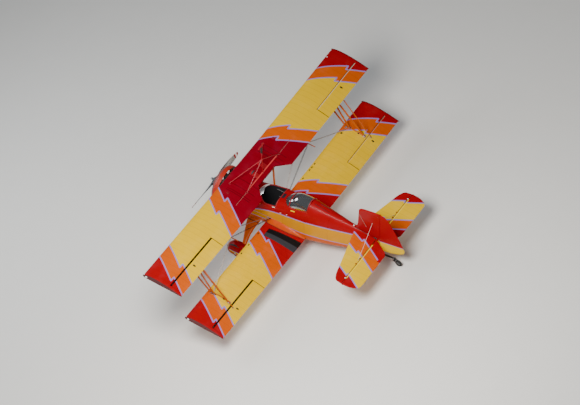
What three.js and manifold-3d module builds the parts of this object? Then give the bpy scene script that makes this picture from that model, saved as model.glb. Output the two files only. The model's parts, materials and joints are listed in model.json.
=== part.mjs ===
// A stunt biplane with a round engine, standing on its main wheels and its tail wheel.
// Millimetres and degrees. Inside the airframe group +X is the aircraft's left, +Y is aft and
// +Z is up in level flight, from the middle of the upper wing's leading edge. The group is
// then tilted nose up about its axles until all three wheels stand on one floor.

import * as THREE from 'three';
import { mergeVertices } from 'three/addons/utils/BufferGeometryUtils.js';
import Module from 'manifold-3d';

const wasm = await Module();
wasm.setup();

// Gaps
const SEAT = 0.3;
const RUNNING = 8;

// Wings: one section and chord for both planes, with square tips.
const CHORD = 1420;
const SECTION = { thickness: 0.12, camber: 0.035, camberAt: 0.4, stations: 10 };
const INCIDENCE = 5;
const DIHEDRAL = 1.5;
const STAGGER = 1297;
const WING_GAP = 1574;
const TIP_CORNER = 90;
const CENTRE = { halfSpan: 970, cutoutHalfWidth: 490, cutoutOuter: 860, cutoutDepth: 390 };
const HINGE = 0.7 * CHORD;
const WING = {
  upper: { inner: 930, tip: 5475, aileronIn: 3100, aileronOut: 5370, y: 0, z: 0 },
  lower: { inner: 300, tip: 5210, aileronIn: 2830, aileronOut: 5100, y: STAGGER, z: -WING_GAP },
};

// Thrust line, engine, cowl and propeller
const THRUST_Z = -1540;
const FIREWALL_Y = -60;
const COWL = { lipY: -810, crownY: -675, rearY: -555, mouth: 500, crown: 684, rear: 679, wall: 10 };
const ENGINE = {
  cylinders: 9, y: -560, caseRadius: 235, headRadius: 580, noseY: -965,
  rocker: { width: 130, height: 55, depth: 130, ahead: 35 },
  bracket: { size: 16, ahead: 45, overlap: 60 },
};
const CASE_PROFILE = [
  // radius, y
  [62, ENGINE.noseY], [62, -900], [118, -870], [158, -730], [200, -700],
  [ENGINE.caseRadius, -660], [ENGINE.caseRadius, -450],
];
const CYLINDER_PROFILE = [
  // radius, distance from the crankshaft
  [0, 180], [62, 180], [62, 300], [88, 305], [88, 340], [66, 345], [66, 385], [92, 390],
  [94, 500], [60, ENGINE.headRadius - 20], [0, ENGINE.headRadius - 20],
];
const PROP = { y: -1035, radius: 1350, hubRadius: 95, domeTip: -1200, blades: 2, sides: 12 };
const HUB_PROFILE = [
  // radius, y
  [0, PROP.domeTip], [28, PROP.domeTip + 6], [46, PROP.domeTip + 30], [50, PROP.y - 55],
  [PROP.hubRadius, PROP.y - 45], [PROP.hubRadius, PROP.y + 45], [58, PROP.y + 55],
  [58, ENGINE.noseY - SEAT], [0, ENGINE.noseY - SEAT],
];
const BLADE = [
  // radius, chord, thickness, pitch
  [PROP.hubRadius + SEAT, 96, 96, 0],
  [190, 96, 92, 10],
  [330, 150, 52, 44],
  [600, 205, 34, 33],
  [950, 210, 22, 23],
  [1220, 170, 13, 18],
  [PROP.radius - 30, 110, 9, 16],
  [PROP.radius, 46, 6, 16],
];
const REAR_CASE = { radius: 290, frontY: -400, rearY: -280, neckRadius: 180, neckY: -220, sides: 18 };
const EXHAUST = {
  radius: 52,
  path: [
    // x, y, z
    [-130, -340, -1740],
    [-275, -322, -1905],
    [-300, -235, -2035],
    [-290, -110, -2150],
    [-280, 120, -2215],
    [-280, 420, -2235],
  ],
};

// Fuselage: half width at the waist, heights of top, waist and bottom, and how square each
// half of the section is (2 is an ellipse).
const HULL_POINTS = 28;
const COCKPIT_END = 2750;
const HULL_FRONT = [
  // y, halfWidth, top, waist, bottom, squareTop, squareBottom
  [FIREWALL_Y, 560, -905, -1540, -2140, 2.1, 2.1],
  [450, 520, -860, -1500, -2095, 2.4, 2.4],
  [1000, 475, -770, -1450, -2045, 3.4, 3.0],
  [1650, 460, -625, -1420, -1980, 4.4, 3.4],
  [2150, 455, -530, -1400, -1930, 3.6, 3.6],
  [COCKPIT_END, 440, -350, -1350, -1860, 3.0, 3.6],
];
const HULL_REAR = [
  // y, halfWidth, top, waist, bottom, squareTop, squareBottom
  [COCKPIT_END + SEAT, 440, -225, -1350, -1860, 2.4, 3.6],
  [3300, 375, -300, -1270, -1745, 2.3, 3.4],
  [4100, 240, -395, -1110, -1555, 2.2, 3.0],
  [4700, 130, -475, -960, -1370, 2.2, 2.6],
  [5240, 30, -625, -860, -1170, 2.2, 2.2],
];
const PIT = {
  front: { noseY: 870, rearY: 1590, halfWidth: 400, floor: -1780 },
  rear: { noseY: 1930, rearY: 2690, halfWidth: 285, floor: -1640 },
  skin: 45,
  curve: 16,
};

// Canopy and windscreens
const DOME_POINTS = 14;
const DOME = [
  // y, halfWidth, sill, crown
  [1780, 120, -700, -600],
  [1880, 250, -700, -500],
  [2020, 318, -700, -385],
  [2260, 335, -680, -230],
  [2500, 332, -650, -190],
  [COCKPIT_END - 6, 322, -610, -200],
];
const GLASS = 6;
const BOW_Y = 2030;
const CANOPY_EDGE = 30;
const FRONT_SCREEN = {
  y: 1250, baseRadius: 611, baseZ: -935, topRadius: 300, topZ: -640,
  narrow: 0.85, reach: 40, sheet: 8, sides: 48,
};

// Pilot's seat and instrument panel
const PILOT_SEAT = { width: 400, depth: 400, pan: 60, height: 330, backHeight: 620, backDepth: 50 };
const SEAT_LEGS = { size: 300, shorter: 20 };
const PANEL = { behindNose: 180, thickness: 12, height: 300, z: -840 };

// The rack on the centre section: half spans, heights and tube sizes
const RACK = {
  y: 885, lean: 15, tube: 17, post: 20, brace: 13, crossHalf: 800, headHalf: 150, top: 1360,
  braceTop: 700,
  plate: { front: 560, rear: 893, width: 180, x: 230, thickness: 10, rise: 22 },
  feet: [[950, 250], [930, 900]],
};

// Tail: outlines as seen from the side (y, z) and from above (x, y). A row of two numbers ends
// a straight edge, and a row of four is a curve's handle and its end.
const TAIL_THICKNESS = 56;
const RUNNING_EDGE = TAIL_THICKNESS / 2 + RUNNING;
const STABILIZER_Z = -535;
const ELEVATOR_HINGE_Y = 5195;
const RUDDER_HINGE_Y = 5290;
const TAIL_HALF_SPAN = 2115;
const TORQUE_TUBE_RADIUS = 22;
const STRAP = { long: 90, wide: 40, thin: 20 };
const FIN_STRAPS = [-360, 130, 600];
const STABILIZER_STRAPS = [350, 1100, 1850];
const FIN = [
  [4330, -560], [4330, -400], [4430, -330, 4450, -230], [4505, 480], [4520, 590, 4640, 620],
  [RUDDER_HINGE_Y - RUNNING_EDGE, 735], [RUDDER_HINGE_Y - RUNNING_EDGE, -480], [5120, -480],
  [5060, -560],
];
const RUDDER = [
  [RUDDER_HINGE_Y, 740], [5490, 740, 5605, 570], [5790, 270, 5985, -90], [6165, -490],
  [6215, -640, 6080, -745], [5850, -880, 5600, -955], [RUDDER_HINGE_Y, -1010],
];
const STABILIZER = [
  [20, 4370], [160, 4385], [1530, 4725], [1990, 4800, 2070, 4940],
  [TAIL_HALF_SPAN - 5, ELEVATOR_HINGE_Y - RUNNING_EDGE], [20, ELEVATOR_HINGE_Y - RUNNING_EDGE],
];
const ELEVATOR = [
  [95, ELEVATOR_HINGE_Y], [TAIL_HALF_SPAN, ELEVATOR_HINGE_Y],
  [TAIL_HALF_SPAN + 15, 5420, 2060, 5560], [2000, 5740, 1860, 5745], [400, 5745],
];
const TAIL_STRUT = { foot: [60, 4700, -1330], head: [1050, 4880, STABILIZER_Z], chord: 44, thickness: 20 };

// Landing gear
const TRACK = 2440;
const WHEEL = { y: 600, z: -2780, radius: 320, width: 216, bore: 40 };
const AXLE_RADIUS = 39;
const PANT_WELL = { halfWidth: 132, shoulder: 250, radius: 338, mouth: 120 };
const PANT = [
  // y, halfWidth, top, bottom
  [195, 40, -2740, -2800],
  [235, 95, -2660, -2870],
  [312, 155, -2555, -2930],
  [450, 180, -2440, -2955],
  [600, 186, -2405, -2962],
  [780, 178, -2420, -2935],
  [960, 156, -2480, -2880],
  [1160, 110, -2540, -2790],
  [1340, 55, -2615, -2710],
  [1440, 14, -2660, -2685],
];
const LEG = [
  // x, z, frontY, rearY, thickness
  [330, -1960, 440, 950, 150],
  [470, -2060, 485, 900, 125],
  [620, -2160, 530, 860, 110],
  [800, -2275, 590, 835, 98],
  [1000, -2400, 670, 850, 90],
  [1200, -2530, 725, 870, 84],
];
const LEG_LEAN = 57;
const LEG_SIDES = 14;
const TYRE = [
  // share of the radius, share of half the width
  [0.4, 0.55], [0.5, 0.72], [0.72, 1], [0.9, 0.8], [1, 0.28],
];
const TAIL_WHEEL = { y: 5950, z: -1262, radius: 118, width: 80, bore: 15 };
const SWIVEL = { y: 5800, z: -1150, crossZ: -1172, collar: 26, crown: 30, from: 8, top: 62, foot: -34 };
const TAIL_SPRING = [
  // y, z, width, depth
  [4700, -1290, 60, 20],
  [5200, -1205, 60, 20],
  [5560, -1150, 54, 16],
  [5774, -1128, 50, 14],
];

// Struts: ends in the wings' own spars
const FRONT_SPAR = 180;
const REAR_SPAR = 850;
const STRUT_X = 4000;
const STRUT = { chord: 86, thickness: 34, topBehind: -95, footBehind: 110 };
const CABANES = [
  // name, foot, head
  ['cabane_front', [440, 330, -1020], [620, FRONT_SPAR + 20, 70]],
  ['cabane_rear', [425, 1010, -1000], [620, REAR_SPAR, 0]],
];
const CABANE = { chord: 74, thickness: 32 };
const STAY = {
  root: [400, STAGGER + 60, -1455], centreX: 1010, inset: 90, topAhead: 40, footBehind: 30,
  depth: 60, chord: 12, thickness: 6,
};
const PUSHROD = {
  radius: 11, lowerPin: 50, upperPin: 200, pinRadius: 9, pinHeight: 34, lug: 16, x: 4090,
};

const COLOURS = {
  red: 0xb00a1c, orange: 0xe8620c, yellow: 0xf2c200, black: 0x16161a, steel: 0x8d9299,
  aluminium: 0xb9bcc0, rubber: 0x1b1b1d, glass: 0xb9d4d8, leather: 0x3a2a22,
};

const radians = THREE.MathUtils.degToRad;

// Turns any closed geometry into bare, merged triangles whose faces point out.
function closed(geometry) {
  const bare = geometry.index ? geometry.toNonIndexed() : geometry.clone();
  bare.deleteAttribute('normal');
  bare.deleteAttribute('uv');
  const merged = mergeVertices(bare, 1e-3);
  const p = merged.attributes.position;
  const index = merged.index.array;
  const kept = [];
  let volume = 0;
  for (let i = 0; i < index.length; i += 3) {
    const [a, b, c] = [index[i], index[i + 1], index[i + 2]];
    if (a === b || b === c || c === a) continue;
    kept.push(a, b, c);
    const va = new THREE.Vector3().fromBufferAttribute(p, a);
    const vb = new THREE.Vector3().fromBufferAttribute(p, b);
    const vc = new THREE.Vector3().fromBufferAttribute(p, c);
    volume += va.dot(vb.cross(vc));
  }
  if (volume < 0) kept.reverse();
  merged.setIndex(kept);
  return merged;
}

function solid(geometry) {
  const shell = closed(geometry);
  return new wasm.Manifold(new wasm.Mesh({
    numProp: 3,
    vertProperties: new Float32Array(shell.attributes.position.array),
    triVerts: new Uint32Array(shell.index.array),
  }));
}

function geometryOf(manifold) {
  const mesh = manifold.getMesh();
  const geometry = new THREE.BufferGeometry();
  geometry.setAttribute('position', new THREE.BufferAttribute(mesh.vertProperties, 3));
  geometry.setIndex(new THREE.BufferAttribute(mesh.triVerts, 1));
  return geometry;
}

const union = (first, ...others) =>
  geometryOf(others.reduce((sum, g) => sum.add(solid(g)), solid(first)));
const cut = (first, ...others) =>
  geometryOf(others.reduce((sum, g) => sum.subtract(solid(g)), solid(first)));
const common = (first, ...others) =>
  geometryOf(others.reduce((sum, g) => sum.intersect(solid(g)), solid(first)));

function mirrored(geometry) {
  return closed(geometry).scale(-1, 1, 1);
}

// A closed skin over rings of points: each ring has the same count, and both ends get a fan.
// The four-cornered faces are split the same way on both hands, so that a ring of points that
// is the same left and right gives a body that is too.
function loft(rings) {
  const count = rings[0].length;
  const points = rings.flat();
  const index = [];
  for (let r = 0; r < rings.length - 1; r++) {
    for (let i = 0; i < count; i++) {
      const a = r * count + i;
      const b = r * count + (i + 1) % count;
      const left = points[a].x + points[b].x >= 0;
      index.push(...(left ? [a, b, b + count, a, b + count, a + count]
        : [a, b, a + count, b, b + count, a + count]));
    }
  }
  for (const [end, flip] of [[0, true], [rings.length - 1, false]]) {
    const middle = rings[end].reduce((sum, p) => sum.add(p), new THREE.Vector3());
    points.push(middle.divideScalar(count));
    for (let i = 0; i < count; i++) {
      const a = end * count + i;
      const b = end * count + (i + 1) % count;
      index.push(...(flip ? [points.length - 1, b, a] : [points.length - 1, a, b]));
    }
  }
  const geometry = new THREE.BufferGeometry().setFromPoints(points);
  geometry.setIndex(index);
  return geometry;
}

// Shapes drawn as (y, z) and pushed along X, and shapes drawn as (x, y) and pushed up.
function alongX(shape, fromX, toX, options = {}) {
  const geometry = new THREE.ExtrudeGeometry(shape, {
    depth: toX - fromX, bevelEnabled: false, curveSegments: 6, ...options,
  });
  const turn = new THREE.Matrix4().makeBasis(
    new THREE.Vector3(0, 1, 0), new THREE.Vector3(0, 0, 1), new THREE.Vector3(1, 0, 0));
  return geometry.applyMatrix4(turn).translate(fromX, 0, 0);
}

function upward(shape, fromZ, toZ, options = {}) {
  return new THREE.ExtrudeGeometry(shape, {
    depth: toZ - fromZ, bevelEnabled: false, curveSegments: 6, ...options,
  }).translate(0, 0, fromZ);
}

const polygon = (points) => new THREE.Shape(points.map(([a, b]) => new THREE.Vector2(a, b)));

// A straight bar between two points: oval, with its long axis as near aft as it can be.
function bar(from, to, chord, thickness, sides = 10) {
  const start = new THREE.Vector3(...from);
  const axis = new THREE.Vector3(...to).sub(start);
  const length = axis.length();
  axis.normalize();
  const aft = Math.abs(axis.y) > 0.95 ? new THREE.Vector3(0, 0, 1) : new THREE.Vector3(0, 1, 0);
  const across = new THREE.Vector3().crossVectors(aft, axis).normalize();
  const wide = new THREE.Vector3().crossVectors(axis, across);
  return new THREE.CylinderGeometry(0.5, 0.5, length, sides)
    .scale(thickness, 1, chord)
    .translate(0, length / 2, 0)
    .applyMatrix4(new THREE.Matrix4().makeBasis(across, axis, wide))
    .translate(...from);
}

const rod = (from, to, radius, sides = 10) => bar(from, to, 2 * radius, 2 * radius, sides);

// A profile of (radius, y) turned about the Y axis.
const turned = (profile, sides) =>
  new THREE.LatheGeometry(profile.map(([radius, y]) => new THREE.Vector2(radius, y)), sides);

function paint(colour, roughness = 0.35, metalness = 0) {
  return new THREE.MeshStandardMaterial({ color: COLOURS[colour], roughness, metalness });
}

function piece(name, geometry, material) {
  const mesh = new THREE.Mesh(closed(geometry), material);
  mesh.name = name;
  return mesh;
}

// Both hands of one piece, whose geometry is drawn for the aircraft's left.
function pair(name, geometry, material) {
  return [piece(`${name}_left`, geometry, material),
    piece(`${name}_right`, mirrored(geometry), material.clone())];
}

// Height of a wing section's skin above its chord line: side 1 is the top, -1 the underside.
function skin(y, side) {
  const { thickness, camber, camberAt } = SECTION;
  const s = Math.min(Math.max(y / CHORD, 0), 1);
  const half = 5 * thickness
    * (0.2969 * Math.sqrt(s) - 0.126 * s - 0.3516 * s ** 2 + 0.2843 * s ** 3 - 0.1015 * s ** 4);
  const part = s < camberAt ? camberAt : 1 - camberAt;
  const bow = camber / part ** 2 * (part ** 2 - (s - camberAt) ** 2);
  return CHORD * (bow + side * half);
}

function sectionShape() {
  const count = SECTION.stations;
  const at = (i) => CHORD * (1 - Math.cos(Math.PI * i / count)) / 2;
  const top = Array.from({ length: count + 1 }, (_, i) => [at(i), skin(at(i), 1)]);
  const under = Array.from({ length: count }, (_, i) => [at(count - i), skin(at(count - i), -1)]);
  return polygon([...top, ...under]);
}

const sectionBetween = (fromX, toX) => alongX(sectionShape(), fromX, toX);
const prism = (points) => upward(polygon(points), -400, 400);

const hingeZ = (skin(HINGE, 1) + skin(HINGE, -1)) / 2;
const noseRadius = (skin(HINGE, 1) - skin(HINGE, -1)) / 2;

// One wing panel, drawn for the left: square root, cut-out for its aileron, clipped tip corner.
function wingPanel({ inner, tip, aileronIn, aileronOut }) {
  const front = HINGE - noseRadius - RUNNING;
  const outline = [
    [inner, -60], [tip - TIP_CORNER, -60], [tip - 30, 10], [tip, TIP_CORNER],
    [tip, CHORD + 60], [aileronOut + RUNNING, CHORD + 60], [aileronOut + RUNNING, front],
    [aileronIn - RUNNING, front], [aileronIn - RUNNING, CHORD + 60], [inner, CHORD + 60],
  ];
  return common(sectionBetween(inner, tip), prism(outline));
}

// An aileron with its round nose on the hinge line, end pins and the pin of the push-rod.
function aileron({ aileronIn, aileronOut }, lugSide) {
  const blade = common(sectionBetween(aileronIn, aileronOut), prism([
    [aileronIn, HINGE], [aileronOut, HINGE], [aileronOut, CHORD + 60], [aileronIn, CHORD + 60]]));
  const nose = rod([aileronIn, HINGE, hingeZ], [aileronOut, HINGE, hingeZ], noseRadius, 28);
  const reach = RUNNING - SEAT;
  const pins = rod([aileronIn - reach, HINGE, hingeZ], [aileronOut + reach, HINGE, hingeZ], 10, 12);
  const { y, z } = pushrodPin(lugSide);
  const lugHeight = PUSHROD.pinHeight + 20;
  const lug = new THREE.BoxGeometry(PUSHROD.lug, PUSHROD.lug, lugHeight)
    .translate(PUSHROD.x, y, z - lugSide * lugHeight / 2);
  const pin = rod([PUSHROD.x - 18, y, z], [PUSHROD.x + 18, y, z], PUSHROD.pinRadius, 12);
  return union(blade, nose, pins, lug, pin);
}

// Where the push-rod's pin stands off an aileron's skin, in the wing's own frame.
function pushrodPin(side) {
  const y = HINGE + (side > 0 ? PUSHROD.lowerPin : PUSHROD.upperPin);
  return { y, z: skin(y, side) + side * PUSHROD.pinHeight };
}

// A frame tilted by incidence and dihedral: plane is 'upper' or 'lower', side 1 is left.
function wingFrame(plane, side) {
  const frame = new THREE.Group();
  frame.position.set(0, WING[plane].y, WING[plane].z);
  frame.rotation.set(radians(-INCIDENCE), radians(-DIHEDRAL * side), 0, 'YXZ');
  frame.updateMatrix();
  return frame;
}

const inWing = (plane, side, x, y, z) =>
  new THREE.Vector3(x * side, y, z).applyMatrix4(wingFrame(plane, side).matrix).toArray();

// The wing's section in the airframe's frame, moved off by the seat gap, to cut what it carries.
function wingSeat(plane, side, away) {
  const reach = side > 0 ? [200, WING[plane].tip] : [-WING[plane].tip, -200];
  return sectionBetween(...reach).translate(0, 0, away * SEAT)
    .applyMatrix4(wingFrame(plane, side).matrix);
}

function ring(halfWidth, top, waist, bottom, squareTop, squareBottom, y) {
  return Array.from({ length: HULL_POINTS }, (_, i) => {
    const turn = 2 * Math.PI * i / HULL_POINTS;
    const [c, s] = [Math.cos(turn), Math.sin(turn)];
    const power = 2 / (s >= 0 ? squareTop : squareBottom);
    const height = s >= 0 ? top - waist : waist - bottom;
    return new THREE.Vector3(
      halfWidth * Math.sign(c) * Math.abs(c) ** power,
      y,
      waist + height * Math.sign(s) * Math.abs(s) ** power);
  });
}

// The fuselage's skin, moved out by some distance to leave gaps, or in to leave walls.
function hull(table, out = 0) {
  return loft(table.map(([y, halfWidth, top, waist, bottom, squareTop, squareBottom]) =>
    ring(halfWidth + out, top + out, waist, bottom - out, squareTop, squareBottom, y)));
}

const hullSeat = () => [hull(HULL_FRONT, SEAT), hull(HULL_REAR, SEAT)];

// A cockpit seen from above: round in front, square behind.
function pitShape({ noseY, rearY, halfWidth }) {
  const shape = new THREE.Shape();
  const roundY = noseY + halfWidth;
  shape.moveTo(halfWidth, rearY);
  shape.lineTo(-halfWidth, rearY);
  shape.lineTo(-halfWidth, roundY);
  shape.absarc(0, roundY, halfWidth, Math.PI, 2 * Math.PI, false);
  return shape;
}

function pit(place, coaming) {
  const well = upward(pitShape(place), place.floor, 0, { curveSegments: PIT.curve });
  const inside = hull(HULL_FRONT, -PIT.skin);
  const throat = new THREE.BoxGeometry(1200, 3400, 900).translate(0, 1700, coaming + 450);
  return common(well, union(inside, throat));
}

function fuselageFront() {
  const body = cut(hull(HULL_FRONT), pit(PIT.front, -1150), pit(PIT.rear, -1050));
  return piece('fuselage_front', body, paint('red'));
}

function fuselageRear() {
  return piece('fuselage_rear', hull(HULL_REAR), paint('red'));
}

// Engine

// The cowl is a short ring with a rolled lip. Its wall can be thickened to leave a gap.
function cowlRing(out = 0) {
  const { lipY, crownY, rearY, mouth, crown, rear, wall } = COWL;
  const outer = [
    [mouth, lipY + 90], [mouth - 8, lipY + 35], [mouth + 12, lipY], [mouth + 70, lipY + 12],
    [crown - 45, lipY + 60], [crown - 8, crownY - 20], [crown, crownY + 30], [rear, rearY],
  ].map(([r, y]) => [r + out, y]);
  const inner = [
    [rear - wall, rearY], [crown - wall, crownY + 30], [crown - wall - 12, crownY - 12],
    [crown - 68, lipY + 75], [mouth + 40, lipY + 55],
  ].map(([r, y]) => [r - out, y]);
  return turned([...outer, ...inner, outer[0]], 32).translate(0, 0, THRUST_Z);
}

// The round engine: nose case, crankcase, finned cylinders, the brackets that hold the cowl,
// and the accessory case that reaches back to the firewall.
function engine() {
  const { cylinders, y, headRadius, rocker, bracket } = ENGINE;
  const crankcase = turned([
    [0, ENGINE.noseY], ...CASE_PROFILE, [REAR_CASE.radius, REAR_CASE.frontY],
    [REAR_CASE.radius, REAR_CASE.rearY], [REAR_CASE.neckRadius, REAR_CASE.neckY],
    [REAR_CASE.neckRadius, FIREWALL_Y - SEAT], [0, FIREWALL_Y - SEAT],
  ], REAR_CASE.sides);
  const bracketTop = COWL.crown - COWL.wall;
  const bracketFoot = headRadius - bracket.overlap;
  const parts = [];
  for (let i = 0; i < cylinders; i++) {
    const turn = 2 * Math.PI * i / cylinders;
    const cylinder = turned(CYLINDER_PROFILE, 10);
    const cover = new THREE.BoxGeometry(rocker.width, rocker.height, rocker.depth)
      .translate(0, headRadius - 45, rocker.ahead);
    const post = new THREE.BoxGeometry(bracket.size, bracketTop - bracketFoot, bracket.size)
      .translate(0, (bracketTop + bracketFoot) / 2, bracket.ahead);
    for (const part of [cylinder, cover, post]) {
      parts.push(part.rotateX(Math.PI / 2).rotateY(turn).translate(0, y, 0));
    }
  }
  const joined = union(crankcase, ...parts).translate(0, 0, THRUST_Z);
  return piece('engine', cut(joined, cowlRing(SEAT)), paint('steel', 0.45, 0.7));
}

// One pipe that leaves the rear case and turns aft under the belly.
function exhaust() {
  const { radius, frontY, rearY, neckRadius, neckY, sides } = REAR_CASE;
  const seat = [
    [0, frontY - SEAT], [radius + SEAT, frontY - SEAT], [radius + SEAT, rearY + SEAT],
    [neckRadius + SEAT, neckY + SEAT], [0, neckY + SEAT],
  ];
  const path = new THREE.CatmullRomCurve3(EXHAUST.path.map((p) => new THREE.Vector3(...p)));
  const section = new THREE.Shape().absarc(0, 0, EXHAUST.radius, 0, 2 * Math.PI);
  const pipe = new THREE.ExtrudeGeometry(section,
    { steps: 14, extrudePath: path, curveSegments: 6, bevelEnabled: false });
  const rearCase = turned(seat, sides).translate(0, 0, THRUST_Z);
  return piece('exhaust_pipe', cut(pipe, rearCase, ...hullSeat()), paint('steel', 0.5, 0.8));
}

const propellerHub = () => piece('propeller_hub', turned(HUB_PROFILE, 24), paint('aluminium', 0.3, 1));

// One metal blade along +X, twisted and tapered, with its round shank against the hub.
function propellerBlade() {
  const { sides, y, hubRadius } = PROP;
  const rings = BLADE.map(([radius, chord, thickness, pitch]) =>
    Array.from({ length: sides }, (_, i) => {
      const turn = 2 * Math.PI * i / sides;
      return new THREE.Vector3(0, thickness / 2 * Math.sin(turn), chord / 2 * Math.cos(turn))
        .applyAxisAngle(new THREE.Vector3(1, 0, 0), -radians(pitch))
        .setX(radius);
    }));
  const seat = hubRadius + SEAT;
  const cup = turned([[0, y - 60], [seat, y - 60], [seat, y + 60], [0, y + 60]], 24);
  const root = rings[0].map((p) => p.clone().setX(hubRadius - 20));
  return cut(loft([root, ...rings]).translate(0, y, 0), cup);
}

function propeller() {
  const group = new THREE.Group();
  group.position.z = THRUST_Z;
  group.add(propellerHub());
  for (let i = 0; i < PROP.blades; i++) {
    const blade = propellerBlade().rotateY(i * 2 * Math.PI / PROP.blades);
    group.add(piece(`propeller_blade_${i + 1}`, blade, paint('aluminium', 0.35, 1)));
  }
  return group;
}

const nose = () =>
  [piece('engine_cowl', cowlRing(), paint('red')), engine(), exhaust(), propeller()];

// Wings

const centreRise = CENTRE.halfSpan * Math.sin(radians(DIHEDRAL));

function centreSection() {
  const { halfSpan, cutoutHalfWidth, cutoutOuter, cutoutDepth } = CENTRE;
  const edge = halfSpan - SEAT;
  const outline = prism([
    [-edge, -60], [edge, -60], [edge, CHORD + 60], [cutoutOuter, CHORD + 60],
    [cutoutHalfWidth, CHORD - cutoutDepth], [-cutoutHalfWidth, CHORD - cutoutDepth],
    [-cutoutOuter, CHORD + 60], [-edge, CHORD + 60],
  ]);
  const mesh = piece('wing_upper_center', common(sectionBetween(-edge, edge), outline), paint('red'));
  mesh.rotation.x = radians(-INCIDENCE);
  mesh.position.z = centreRise;
  return mesh;
}

function wings() {
  const parts = [centreSection()];
  for (const side of [1, -1]) {
    const hand = side > 0 ? 'left' : 'right';
    const handed = (geometry) => (side > 0 ? geometry : mirrored(geometry));
    for (const plane of ['upper', 'lower']) {
      const frame = wingFrame(plane, side);
      const rootSeat = plane === 'lower' ? hullSeat()
        : [new THREE.BoxGeometry(2 * CENTRE.halfSpan, 9000, 9000)];
      const toFrame = frame.matrix.clone().invert();
      const panel = cut(handed(wingPanel(WING[plane])), ...rootSeat.map((g) => g.applyMatrix4(toFrame)));
      frame.add(piece(`wing_${plane}_${hand}`, panel, paint('yellow')));
      frame.add(piece(`aileron_${plane}_${hand}`,
        handed(aileron(WING[plane], plane === 'upper' ? -1 : 1)), paint('yellow')));
      parts.push(frame);
    }
  }
  return parts;
}

// Struts between the wings: front and rear struts, the diagonal, and the aileron push-rod.
function interplaneStruts() {
  const mid = (y) => (skin(y, 1) + skin(y, -1)) / 2;
  const end = (plane, y, x = STRUT_X) => inWing(plane, 1, x, y, mid(y));
  const table = [
    // name, top, bottom
    ['interplane_front', end('upper', FRONT_SPAR), end('lower', FRONT_SPAR)],
    ['interplane_diagonal', end('upper', REAR_SPAR + STRUT.topBehind),
      end('lower', FRONT_SPAR + STRUT.footBehind)],
    ['interplane_rear', end('upper', REAR_SPAR), end('lower', REAR_SPAR)],
  ];
  return table.flatMap(([name, top, bottom]) => {
    const strut = bar(bottom, top, STRUT.chord, STRUT.thickness, 12);
    const fitted = cut(strut, wingSeat('upper', 1, -1), wingSeat('lower', 1, 1));
    return pair(name, fitted, paint('orange'));
  });
}

function pushrods() {
  const [below, above] = [pushrodPin(1), pushrodPin(-1)];
  const bottom = new THREE.Vector3(...inWing('lower', 1, PUSHROD.x, below.y, below.z));
  const top = new THREE.Vector3(...inWing('upper', 1, PUSHROD.x, above.y, above.z));
  const along = top.clone().sub(bottom).normalize();
  const clear = PUSHROD.pinRadius + 0.6;
  const ends = [bottom.addScaledVector(along, clear), top.addScaledVector(along, -clear)];
  return pair('aileron_pushrod', rod(ends[0].toArray(), ends[1].toArray(), PUSHROD.radius, 10),
    paint('orange'));
}

// The centre section, moved off by the seat gap to cut what it carries or stands on.
const centreSeat = (away) => sectionBetween(-CENTRE.halfSpan, CENTRE.halfSpan)
  .rotateX(radians(-INCIDENCE)).translate(0, 0, centreRise + away * SEAT);

// Struts that carry the centre section on the fuselage.
function cabaneStruts() {
  const seat = centreSeat(-1);
  const strut = (foot, head) => bar(foot, head, CABANE.chord, CABANE.thickness, 12);
  return CABANES.flatMap(([name, foot, head]) =>
    pair(name, cut(strut(foot, head), seat, ...hullSeat()), paint('orange')));
}

// The main stays: one lift wire and one landing wire on each side.
function stays() {
  const { root, centreX, inset, topAhead, footBehind, depth, chord, thickness } = STAY;
  const outer = STRUT_X - inset;
  const table = [
    // name, start, end
    ['flying_wire', root, inWing('upper', 1, outer, FRONT_SPAR, depth)],
    ['landing_wire', inWing('upper', 1, centreX, REAR_SPAR - topAhead, topAhead),
      inWing('lower', 1, outer, FRONT_SPAR + footBehind, depth)],
  ];
  const seats = () => [wingSeat('upper', 1, -1), wingSeat('lower', 1, 1), ...hullSeat()];
  return table.flatMap(([name, start, end]) =>
    pair(name, cut(bar(start, end, chord, thickness, 6), ...seats()), paint('steel', 0.4, 1)));
}

// Landing gear

// A wheel pant: an egg drawn out into a tail, open below, with the axle across it.
function pantShell(out = 0) {
  return loft(PANT.map(([y, halfWidth, top, bottom]) =>
    ring(halfWidth + out, top + out, (top + bottom) / 2, bottom - out, 2.3, 4, y)));
}

function pant() {
  const { y, z } = WHEEL;
  const { halfWidth, shoulder, radius, mouth } = PANT_WELL;
  const half = [[0, halfWidth], [shoulder, halfWidth], [radius - 28, 100], [radius, 45]];
  const profile = [...half.map(([r, x]) => [r, -x]), ...half.reverse()];
  const well = turned(profile, 28).rotateZ(Math.PI / 2).translate(0, y, z);
  const open = new THREE.BoxGeometry(2 * mouth, 2 * radius - 20, 400).translate(0, y, z - 200);
  const axle = rod([-halfWidth - 20, y, z], [halfWidth + 20, y, z], AXLE_RADIUS, 20);
  return union(cut(pantShell(), union(well, open)), axle).translate(TRACK / 2, 0, 0);
}

// A broad flat leg from the fuselage's lower corner to the pant.
function leg() {
  const lean = radians(LEG_LEAN);
  const rings = LEG.map(([x, z, frontY, rearY, thickness]) =>
    Array.from({ length: LEG_SIDES }, (_, i) => {
      const turn = 2 * Math.PI * i / LEG_SIDES;
      const out = thickness / 2 * Math.sin(turn);
      return new THREE.Vector3(x + out * Math.cos(lean), (frontY + rearY) / 2
        + (rearY - frontY) / 2 * Math.cos(turn), z + out * Math.sin(lean));
    }));
  return cut(loft(rings), ...hullSeat(), pantShell(SEAT).translate(TRACK / 2, 0, 0));
}

// Tyre and hub as one turned body with a bore for the axle.
function wheelGeometry({ radius, width, bore }) {
  const w = width / 2;
  const rim = TYRE[0][1];
  const half = [[bore, rim * w], ...TYRE.map(([r, at]) => [r * radius, at * w])];
  const profile = [...half.map(([r, at]) => [r, -at]), ...half.reverse(), [bore, -rim * w]];
  return turned(profile, 24).rotateZ(Math.PI / 2);
}

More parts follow.
